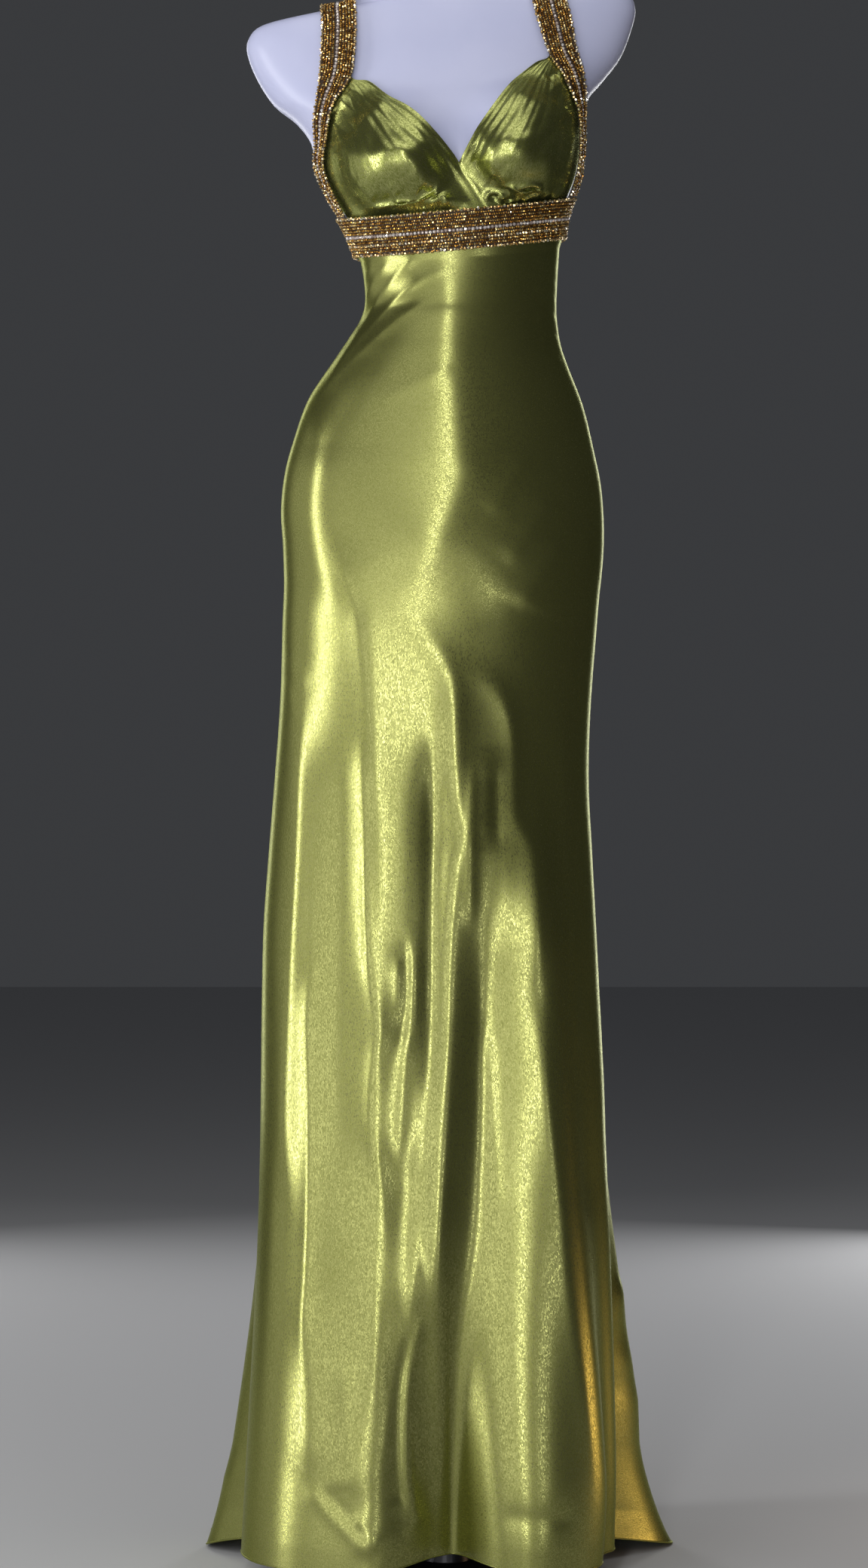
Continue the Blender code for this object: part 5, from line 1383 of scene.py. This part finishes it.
CHANCE = np.random.default_rng(17)
BEAD_SHAPES = {
    BeadKind.SEED: BeadShape(along=0.00135, across=0.00145, out=0.00140, pitch=0.00250),
    BeadKind.EDGE: BeadShape(along=0.00180, across=0.00175, out=0.00175, pitch=0.00345),
    BeadKind.STONE: BeadShape(along=0.00185, across=0.00185, out=0.00130, pitch=0.00400,
                              turn=0.34, is_stone=True),
}
BEAD_WANDER = 0.00022       # how far a bead may lie off its row


@dataclass
class BeadWork:
    """Beads sewn in rows; each row is a line of places on the cloth and the ways out of it."""

    places: dict[BeadKind, list[Array]] = field(default_factory=dict)

    def sew_row(self, kind: BeadKind, line: Array, outward: Array, picot: float = 0.0) -> None:
        """Sew one row of beads at their pitch.

        Args:
            kind: the beads.
            line: the row's line on the cloth.
            outward: the way out of the cloth at each point of the line.
            picot: how far every second bead stands aside, which scallops an edge.
        """
        passed = np.concatenate([[0.0], np.cumsum(np.linalg.norm(np.diff(line, axis=0), axis=1))])
        pitch = BEAD_SHAPES[kind].pitch
        count = round(passed[-1] / pitch)
        if count < 2:
            return
        at = passed[-1] * (np.arange(count) + 0.5) / count

        def along_row(values: Array, place: Array) -> Array:
            return points(*(np.interp(place, passed, column) for column in values.T))

        centre = along_row(line, at)
        out = units(along_row(outward, at))
        along = along_row(line, at + pitch / 3) - along_row(line, at - pitch / 3)
        along = units(along - out * (along * out).sum(axis=1, keepdims=True))
        aside = BEAD_WANDER * CHANCE.uniform(-1.0, 1.0, count) + picot * (np.arange(count) % 2)
        rise = BEAD_WANDER * CHANCE.uniform(-1.0, 1.0, count)
        centre = centre + np.cross(out, along) * aside[:, None] + out * rise[:, None]
        self.places.setdefault(kind, []).append(np.stack([centre, along, out], axis=1))

    def mesh(self, name: str) -> Mesh:
        """All the beads as one mesh, with a material slot for each kind."""
        corners, faces, tones, slots = [], [], [], []
        first = 0
        for kind, rows in self.places.items():
            beads = np.concatenate(rows)
            count = len(beads)
            bead_faces = BEAD_SHAPES[kind].template()[1]
            size = CHANCE.uniform(0.90, 1.08, count)[:, None, None]
            turned = BEAD_SHAPES[kind].turned(count) * size
            centre, along, out = beads[:, 0, None], beads[:, 1, None], beads[:, 2, None]
            across = np.cross(out, along)
            placed = centre + turned[:, :, :1] * along + turned[:, :, 1:2] * across
            placed = placed + turned[:, :, 2:] * out
            each = turned.shape[1]
            starts = first + np.arange(count) * each
            corners.append(placed.reshape(-1, 3))
            tones.append(np.repeat(CHANCE.random(count), each))
            faces.append((starts[:, None, None] + bead_faces).reshape(-1, 3))
            slots.append(np.full(count * len(bead_faces), kind.value, np.int32))
            first += count * each
        mesh = bpy.data.meshes.new(name)
        mesh.from_pydata(np.concatenate(corners).tolist(), [], np.concatenate(faces).tolist())
        mesh.polygons.foreach_set("material_index", np.concatenate(slots))
        tone_layer = mesh.attributes.new("tone", "FLOAT", "POINT")
        tone_layer.data.foreach_set("value", np.concatenate(tones).astype(np.float32))
        mesh.shade_flat()
        return mesh


# ---------------------------------------------------------------- the form and its stand
@dataclass
class DressForm:
    """The limbless torso, from the thigh ends up to the cut of the neck."""

    torso: TorsoShape
    columns: int = 112
    rows_per_ring: int = 4

    def build(self) -> BVHTree:
        """Build the torso and give its surface, for the straps to lie on."""
        rings = len(self.torso.rings) - 1

        def place(across: Array, down: Array) -> Array:
            return self.torso.point(rings * (1.0 - down), 180.0 - 360.0 * across)

        mesh = cloth_grid("form_torso_fine", self.columns + 1, rings * self.rows_per_ring + 1,
                          place, (1.0, 1.0))
        body = bmesh.new()
        body.from_mesh(mesh)
        bmesh.ops.remove_doubles(body, verts=body.verts, dist=WELD)
        bmesh.ops.holes_fill(body, edges=body.edges, sides=self.columns)
        bmesh.ops.recalc_face_normals(body, faces=body.faces)
        body.normal_update()
        surface = BVHTree.FromBMesh(body)
        body.to_mesh(mesh)
        body.free()
        shade(mesh, FORM_SHARP)
        piece = new_piece("form_torso_fine", mesh, [FORM_SKIN.material()])
        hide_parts("form_torso")
        LOG.info("form: %d faces", len(mesh.polygons))
        return surface


@dataclass
class Stand:
    """The round foot with its collar, and the pole with the flange under the form."""

    pole_radius: float = 0.0145
    flange_radius: float = 0.042
    flange_thickness: float = 0.006
    foot_radius: float = 0.130
    foot_thickness: float = 0.008
    collar_radius: float = 0.026
    collar_height: float = 0.022
    foot_rounding: float = 0.0014
    pole_rounding: float = 0.0008
    rim_angle: float = math.radians(40)
    steps: int = 96

    def turned(self, name: str, profile: Sequence[Pair], round_over: float,
               finish: Material) -> Piece:
        """Turn a closed profile about the upright axis and round its edges over.

        Args:
            name: the piece's name.
            profile: points (radius, z), from the top middle to the foot middle.
            round_over: the radius on its edges.
            finish: its material.

        Returns:
            The piece.
        """
        body = bmesh.new()
        line = [body.verts.new((radius, 0.0, z)) for radius, z in profile]
        edges = [body.edges.new(pair) for pair in zip(line, line[1:])]
        bmesh.ops.spin(body, geom=line + edges, cent=(0, 0, 0), axis=(0, 0, 1), dvec=(0, 0, 0),
                       angle=2 * math.pi, steps=self.steps, use_merge=True)
        bmesh.ops.remove_doubles(body, verts=body.verts, dist=WELD)
        bmesh.ops.recalc_face_normals(body, faces=body.faces)
        rims = [edge for edge in body.edges
                if edge.is_manifold and edge.calc_face_angle() > self.rim_angle]
        bmesh.ops.bevel(body, geom=rims, offset=round_over, offset_type="OFFSET", segments=3,
                        profile=0.5, affect="EDGES", material=-1, clamp_overlap=True)
        mesh = mesh_of(body, name)
        shade(mesh, STAND_SHARP)
        return new_piece(name, mesh, [finish])

    def build(self) -> None:
        """Build the foot and the pole."""
        metal = DARK_METAL.material()
        foot = self.turned("stand_foot_fine", (
            (0.0, self.collar_height), (self.collar_radius, self.collar_height),
            (self.collar_radius, self.foot_thickness), (self.foot_radius, self.foot_thickness),
            (self.foot_radius, 0.0), (0.0, 0.0)), self.foot_rounding, metal)
        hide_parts("stand_foot")
        flange_top = FORM_RINGS[0][1] - SEAM_GAP
        flange_foot = flange_top - self.flange_thickness
        pole_foot = self.collar_height + SEAM_GAP
        pole = self.turned("stand_pole_fine", (
            (0.0, flange_top), (self.flange_radius, flange_top),
            (self.flange_radius, flange_foot), (self.pole_radius, flange_foot),
            (self.pole_radius, pole_foot), (0.0, pole_foot)), self.pole_rounding, metal)
        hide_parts("stand_pole")
        LOG.info("stand: foot %.0f mm across", self.foot_radius * 2000)


# ---------------------------------------------------------------- the satin
@dataclass
class SatinPiece:
    """One panel of satin: a thin closed shell on a surface, with its cut."""

    name: str
    node: str
    place: Place
    columns: int
    rows: int
    cut: Pair
    cut_area: float
    held: str
    rests_on: tuple[str, ...]

    def build(self, finish: Material, trims: Sequence[Piece] = ()) -> None:
        """Build the panel on its cut and log its area.

        Args:
            finish: the satin.
            trims: separate pieces that are sewn on it; not used.
        """
        mesh = cloth_grid(self.name, self.columns, self.rows, self.place, self.cut)
        one_side = area_of(mesh)
        piece = new_piece(self.name, mesh, [finish])
        give_wall(piece, SATIN_SHELL, SATIN_SHARP)
        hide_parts(self.node)
        LOG.info("%s: %.4f square metres a side, %d faces", self.name, one_side,
                 len(piece.data.polygons))


@dataclass
class Hem:
    """The narrow rolled hem along the foot of a skirt panel."""

    name: str
    place: Place
    stations: int = 420
    roll_radius: float = 0.0010
    inset: float = 0.0015       # the share of the width left free beside each side seam

    def build(self, finish: Material) -> Piece:
        """Build the roll in the satin."""
        across = np.linspace(self.inset, 1.0 - self.inset, self.stations)
        line = self.place(across, np.ones(self.stations))
        line[:, 2] = np.maximum(line[:, 2], self.roll_radius + FLOOR_GAP)
        mesh = tube(self.name, line, self.roll_radius)
        layer = mesh.uv_layers.new(name="cut")
        layer.data.foreach_set("uv", np.zeros(len(mesh.loops) * 2, np.float32))
        return new_piece(self.name, mesh, [finish])


@dataclass
class Gown:
    """The gown's satin: two skirt panels with their hems, and two cups."""

    torso: TorsoShape

    def build(self) -> None:
        """Build the panels and the cups."""
        satin, cup_satin = SATIN.material(), CUP_SATIN.material()
        skirt = SkirtShape(self.torso)
        front_hem = Hem("hem_front", skirt.front).build(satin)
        back_hem = Hem("hem_back", skirt.back, stations=520).build(satin)
        SatinPiece("skirt_front_satin", "skirt_front", skirt.front, columns=184, rows=261,
                   cut=(0.70, 1.40), cut_area=0.69, held="hung",
                   rests_on=("band_front_net",)).build(satin, [front_hem])
        SatinPiece("skirt_back_satin", "skirt_back", skirt.back, columns=176, rows=271,
                   cut=(1.10, 1.62), cut_area=0.84, held="hung",
                   rests_on=("band_back_net",)).build(satin, [back_hem])
        right = CupShape(self.torso, RIGHT_CUP_OUTER, RIGHT_CUP_NECK, RIGHT_CUP_FOLDS,
                         RIGHT_CUP_PLEATS, CUP_OVERLAP_OFF)
        left = CupShape(self.torso, LEFT_CUP_OUTER, LEFT_CUP_NECK, LEFT_CUP_FOLDS,
                        LEFT_CUP_PLEATS, 0.0)
        for name, node, cup in (("cup_right_satin", "cup_right", right),
                                ("cup_left_satin", "cup_left", left)):
            SatinPiece(name, node, cup.point, columns=150, rows=170, cut=(0.20, 0.24),
                       cut_area=0.030, held="gathered",
                       rests_on=("form_torso_fine", "band_front_net")).build(cup_satin)


# ---------------------------------------------------------------- the beaded trim
NET_WALL = 0.0012
BEAD_STAND = 0.5            # how high a bead's middle stands over the net, in its radii
EDGE_BEAD_STAND = 0.4       # the same along a strap's edges


@dataclass
class TrimFinishes:
    """What the trim is made of: the net, and the gold beads, the pale ones and the stones."""

    net: Material
    beads: tuple[Material, ...]

    def net_piece(self, name: str, mesh: Mesh) -> tuple[Piece, float]:
        """Make a sheet of net a piece with its wall, and measure the sheet's area."""
        one_side = area_of(mesh)
        piece = new_piece(name + "_net", mesh, [self.net])
        give_wall(piece, NET_WALL, NET_SHARP)
        return piece, one_side

    def bead_piece(self, name: str, work: BeadWork) -> Piece:
        """Make the trim's beads a piece."""
        return new_piece(name + "_beads", work.mesh(name + "_beads"), self.beads)


@dataclass
class BeadedBand:
    """Half the band: net sewn with rows of seed beads, a row of stones and beaded edges."""

    torso: TorsoShape
    name: str
    start: float
    cut_length: float = 0.36
    radius: float = 0.11
    columns: int = 140
    rows: int = 18
    steps: int = 360
    seed_drops: tuple[float, ...] = (
        0.0046, 0.0078, 0.0110, 0.0142, 0.0173, 0.0237, 0.0269, 0.0333, 0.0364)
    pale_drop: float = 0.0301
    stone_drop: float = 0.0205
    edge_inset: float = 0.0013
    picot: float = 0.0007

    def build(self, finishes: TrimFinishes) -> None:
        """Build the net and the beads on it."""
        half_gap = math.degrees(SEAM_GAP / 2 / self.radius)

        def angle_at(across: Array) -> Array:
            return self.start + half_gap + (180.0 - 2 * half_gap) * across

        def place(across: Array, down: Array) -> Array:
            middle = BAND_OFF_FORM + NET_WALL / 2
            return self.torso.off_band(angle_at(across), down * BAND_HEIGHT, middle)[0]

        cut = (self.cut_length, BAND_HEIGHT)
        mesh = cloth_grid(self.name + "_net", self.columns, self.rows, place, cut)
        piece, one_side = finishes.net_piece(self.name, mesh)
        work = BeadWork()
        angle = angle_at(np.linspace(0.0, 1.0, self.steps))
        rows = [(drop, BeadKind.SEED, 0.0) for drop in self.seed_drops]
        rows += [(self.pale_drop, BeadKind.EDGE, 0.0), (self.stone_drop, BeadKind.STONE, 0.0),
                 (self.edge_inset, BeadKind.EDGE, self.picot),
                 (BAND_HEIGHT - self.edge_inset, BeadKind.EDGE, -self.picot)]
        for drop, kind, picot in rows:
            rise = BAND_OFF_FORM + NET_WALL + BEAD_SHAPES[kind].out * BEAD_STAND
            line, outward = self.torso.off_band(angle, np.full(len(angle), drop), rise)
            work.sew_row(kind, line, outward, picot)
        bead_piece = finishes.bead_piece(self.name, work)
        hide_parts(self.name)
        LOG.info("%s: net %.4f square metres, %d bead faces", self.name, one_side,
                 len(bead_piece.data.polygons))


@dataclass
class BeadedStrap:
    """A beaded strap lying on the form, from the shoulder seam to the band's top edge."""

    name: str
    path: tuple[tuple[float, float, float, float], ...]
    over_cup: bool
    surface: BVHTree
    columns: int = 9
    steps: int = 84
    stone_row: float = 1.1
    seed_rows: tuple[float, ...] = (14.0, 11.1, 8.2, 5.2, -2.1, -5.1, -8.1, -11.1, -14.0)
    edge_share: float = 0.93
    edge_room: float = 0.0030
    picot: float = 0.0008
    look_ahead: float = 0.2     # along the path, in points, for the way it runs
    onto_cup: Pair = (0.15, 0.40)
    onto_band: Pair = (0.80, 0.97)
    shoulder_run: float = 0.12
    end_run: Pair = (0.88, 1.0)

    @property
    def outer(self) -> float:
        """The sign of the lines that lie toward the armhole."""
        lies_in_front = self.path[1][1] < SHOULDER_SEAM_Y
        return 1.0 if (self.path[0][0] < 0.0) == lies_in_front else -1.0

    def laid(self, offsets: Array, off_net: float) -> tuple[Array, Array, Array]:
        """Lines that run along the strap.

        Args:
            offsets: how far each line lies from the middle, as a share of the half width where
                it is under 1 and in millimetres past it where it is over.
            off_net: the lines' height over the strap's inner face.

        Returns:
            The lines' places and ways out, by step and line, and the strap's widths.
        """
        share = np.linspace(0.0, 1.0, self.steps)
        path = np.array(self.path)
        last = len(path) - 1
        rows = rows_at(path, share * last)
        ahead = rows_at(path, np.minimum(share * last + self.look_ahead, last))[:, :3]
        behind = rows_at(path, np.maximum(share * last - self.look_ahead, 0.0))[:, :3]
        width = rows[:, 3]
        low = STRAP_OFF_CUP if self.over_cup else STRAP_OFF_SHOULDER
        off = STRAP_OFF_SHOULDER + (low - STRAP_OFF_SHOULDER) * ease(*self.onto_cup, share)
        off = off + (BAND_OFF_FORM - low) * ease(*self.onto_band, share) + off_net
        on_form = np.zeros((self.steps, len(offsets), 3))
        outward = np.zeros_like(on_form)
        for i, (row, run) in enumerate(zip(rows, units(ahead - behind))):
            middle = Vector(row[:3])
            normal = self.surface.find_nearest(middle)[1]
            side = Vector(run).cross(normal).normalized()
            if i == 0:
                side = Vector((math.copysign(1.0, side.x), 0.0, 0.0))
            for j, offset in enumerate(offsets):
                aside = offset * width[i] / 2 if abs(offset) <= 1.0 else offset / 1000.0
                found, facing, _, _ = self.surface.find_nearest(middle + side * aside)
                on_form[i, j], outward[i, j] = found, facing
        for _ in range(3):
            outward[1:-1] = (outward[:-2] + 2 * outward[1:-1] + outward[2:]) / 4
            if len(offsets) > 2:
                outward[:, 1:-1] = (outward[:, :-2] + 2 * outward[:, 1:-1] + outward[:, 2:]) / 4
        outward /= np.linalg.norm(outward, axis=2, keepdims=True)
        place = on_form + outward * off[:, None, None]
        gap = math.copysign(SEAM_GAP / 2, self.path[1][1] - SHOULDER_SEAM_Y)
        to_seam = (1 - ease(0.0, self.shoulder_run, share))[:, None]
        place[:, :, 1] += ((SHOULDER_SEAM_Y + gap) - place[0, :, 1]) * to_seam
        end_z = band_top_z(on_form[-1, :, 0], on_form[-1, :, 1]) + STRAP_END_GAP
        place[:, :, 2] += (end_z - place[-1, :, 2]) * ease(*self.end_run, share)[:, None]
        return place, outward, width

    def build(self, finishes: TrimFinishes) -> None:
        """Build the strap's net and the beads on it."""
        laid, _, width = self.laid(np.linspace(-1.0, 1.0, self.columns), NET_WALL / 2)

        def place(across: Array, down: Array) -> Array:
            i = np.round(down * (self.steps - 1)).astype(int)
            return laid[i, np.round(across * (self.columns - 1)).astype(int)]

        middle = laid[:, self.columns // 2]
        length = float(np.linalg.norm(np.diff(middle, axis=0), axis=1).sum())
        cut = (round(float(width.max()), 3), round(length, 3))
        mesh = cloth_grid(self.name + "_net", self.columns, self.steps, place, cut)
        piece, one_side = finishes.net_piece(self.name, mesh)
        work = BeadWork()
        self.sew_edges(work)
        self.sew_middle(work)
        bead_piece = finishes.bead_piece(self.name, work)
        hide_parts(self.name)
        LOG.info("%s: net %.3f m long, %.5f square metres, %d bead faces", self.name, length,
                 one_side, len(bead_piece.data.polygons))

    def sew_edges(self, work: BeadWork) -> None:
        """Sew a row of larger beads along both edges."""
        rise = NET_WALL + BEAD_SHAPES[BeadKind.EDGE].out * EDGE_BEAD_STAND
        lines, outward, _ = self.laid(np.array([-self.edge_share, self.edge_share]), rise)
        for j, picot in enumerate((self.picot, -self.picot)):
            work.sew_row(BeadKind.EDGE, lines[1:-1, j], outward[1:-1, j], picot)

    def sew_middle(self, work: BeadWork) -> None:
        """Sew the stones beside the groove and the seed rows on both sides of it."""
        rows = [(self.stone_row, BeadKind.STONE)]
        rows += [(offset, BeadKind.SEED) for offset in self.seed_rows]
        for offset, kind in rows:
            rise = NET_WALL + BEAD_SHAPES[kind].out * BEAD_STAND
            lines, outward, width = self.laid(np.array([self.outer * offset]), rise)
            room = width / 2 - self.edge_room - abs(offset) / 1000.0 > 0.0
            room[0] = room[-1] = False
            for start, stop in self.runs(room):
                work.sew_row(kind, lines[start:stop, 0], outward[start:stop, 0])

    @staticmethod
    def runs(room: Array) -> list[tuple[int, int]]:
        """The stretches of steps where there is room for a row."""
        edges = np.flatnonzero(np.diff(np.concatenate([[0], room.astype(int), [0]])))
        return [(int(a), int(b)) for a, b in zip(edges[::2], edges[1::2]) if b - a > 3]


@dataclass
class Trim:
    """The band's two halves and the four straps."""

    torso: TorsoShape
    surface: BVHTree

    def build(self) -> None:
        """Build every beaded piece."""
        finishes = TrimFinishes(NET.material(), tuple(
            beads.material() for beads in (GOLD_BEADS, PALE_BEADS, CRYSTALS)))
        BeadedBand(self.torso, "band_front", -90.0).build(finishes)
        BeadedBand(self.torso, "band_back", 90.0).build(finishes)
        for name, path, over_cup in (
                ("strap_front_right", RIGHT_STRAP_FRONT, True),
                ("strap_front_left", LEFT_STRAP_FRONT, True),
                ("strap_back_right", RIGHT_STRAP_BACK, False),
                ("strap_back_left", LEFT_STRAP_BACK, False)):
            BeadedStrap(name, path, over_cup, self.surface).build(finishes)


# ---------------------------------------------------------------- the studio
WARM = (1.0, 0.62, 0.30)


@dataclass(frozen=True)
class Softbox:
    """A soft light: where it stands, what it points at, its size and its power."""

    name: str
    place: tuple[float, float, float]
    target: tuple[float, float, float]
    size: Pair
    watts: float
    colour: tuple[float, float, float] = (1.0, 1.0, 1.0)


@dataclass
class Studio:
    """A plain pale floor, soft lights and the camera."""

    camera_place: tuple[float, float, float] = (-0.0125, -4.2, 0.81)
    frame_height: float = 1.6224
    floor_size: float = 24.0
    floor_tone: Colour = (0.62, 0.62, 0.63, 1.0)
    room_tone: Colour = (0.52, 0.54, 0.58, 1.0)
    room_light: float = 0.08
    softboxes: tuple[Softbox, ...] = (
        Softbox("key_low", (-1.80, -2.70, 0.60), (0.0, 0.0, 0.6), (1.9, 1.3), 14.0),
        Softbox("key_high", (-1.80, -2.70, 2.25), (0.0, 0.0, 1.7), (1.9, 2.0), 9.5),
        Softbox("key_front", (-0.40, -3.60, 1.55), (0.0, 0.0, 1.2), (0.25, 3.0), 36.0),
        Softbox("fill_front", (1.10, -3.20, 0.45), (0.1, 0.0, 0.85), (0.8, 0.6), 1.2),
        Softbox("side_left", (-2.90, -0.95, 1.15), (0.0, 0.0, 1.0), (0.35, 2.3), 36.0),
        Softbox("rear_left", (-2.90, 0.90, 1.15), (0.0, 0.0, 1.0), (1.4, 2.3), 6.0),
        Softbox("low_front", (1.30, -3.50, 0.35), (0.1, 0.0, 0.3), (0.3, 0.8), 3.5),
        Softbox("side_right", (1.05, 0.15, 0.12), (0.15, 0.0, 0.10), (0.4, 0.2), 0.9, WARM),
        Softbox("back_right", (1.10, 2.90, 1.2), (0.0, 0.0, 0.8), (0.4, 2.2), 15.0),
        Softbox("back_left", (-1.40, 2.70, 1.3), (0.0, 0.0, 0.8), (0.6, 2.2), 13.0),
        Softbox("over", (0.0, -0.8, 3.4), (0.0, 0.0, 0.9), (2.2, 1.6), 17.0),
    )

    def build(self) -> None:
        """Set up the floor, the lights and the camera."""
        self.lay_floor()
        self.hang_lights()
        self.set_camera()

    def lay_floor(self) -> None:
        """Lay the floor and set the room's own light."""
        body = bmesh.new()
        bmesh.ops.create_grid(body, x_segments=8, y_segments=8, size=self.floor_size / 2)
        floor = in_scene("studio_floor", mesh_of(body, "studio_floor"))
        material = new_material("studio_floor", Base_Color=self.floor_tone, Roughness=0.75)[0]
        floor.data.materials.append(material)
        world = bpy.data.worlds.new("studio")
        world.use_nodes = True
        background = world.node_tree.nodes["Background"]
        feed(world.node_tree, background, Color=self.room_tone, Strength=self.room_light)
        bpy.context.scene.world = world
        bpy.context.scene.view_settings.view_transform = "Standard"

    def hang_lights(self) -> None:
        """Hang the softboxes."""
        for box in self.softboxes:
            light = bpy.data.lights.new(box.name, "AREA")
            light.shape = "RECTANGLE"
            light.size, light.size_y = box.size
            light.energy = box.watts
            light.color = box.colour
            lamp = in_scene(box.name, light)
            lamp.visible_camera = False
            away = Vector(box.place) - Vector(box.target)
            lamp.matrix_world = Matrix.LocRotScale(
                Vector(box.place), away.to_track_quat("Z", "Y"), None)

    def set_camera(self) -> None:
        """Set the level camera that frames the gown from the front."""
        camera = bpy.data.cameras.new("camera")
        camera.sensor_fit = "VERTICAL"
        camera.sensor_height = 24.0
        camera.lens = camera.sensor_height * abs(self.camera_place[1]) / self.frame_height
        camera.clip_end = 60.0
        holder = in_scene("camera", camera)
        holder.location = self.camera_place
        holder.rotation_euler = (math.pi / 2, 0.0, 0.0)
        bpy.context.scene.camera = holder


def main() -> None:
    """Build the studio, then the form, the stand, the gown and its trim."""
    logging.basicConfig(level=logging.INFO, format="%(name)s: %(message)s", stream=sys.stdout)
    torso = TorsoShape()
    Studio().build()
    surface = DressForm(torso).build()
    Stand().build()
    Gown(torso).build()
    Trim(torso, surface).build()


if __name__ == "__main__":
    main()
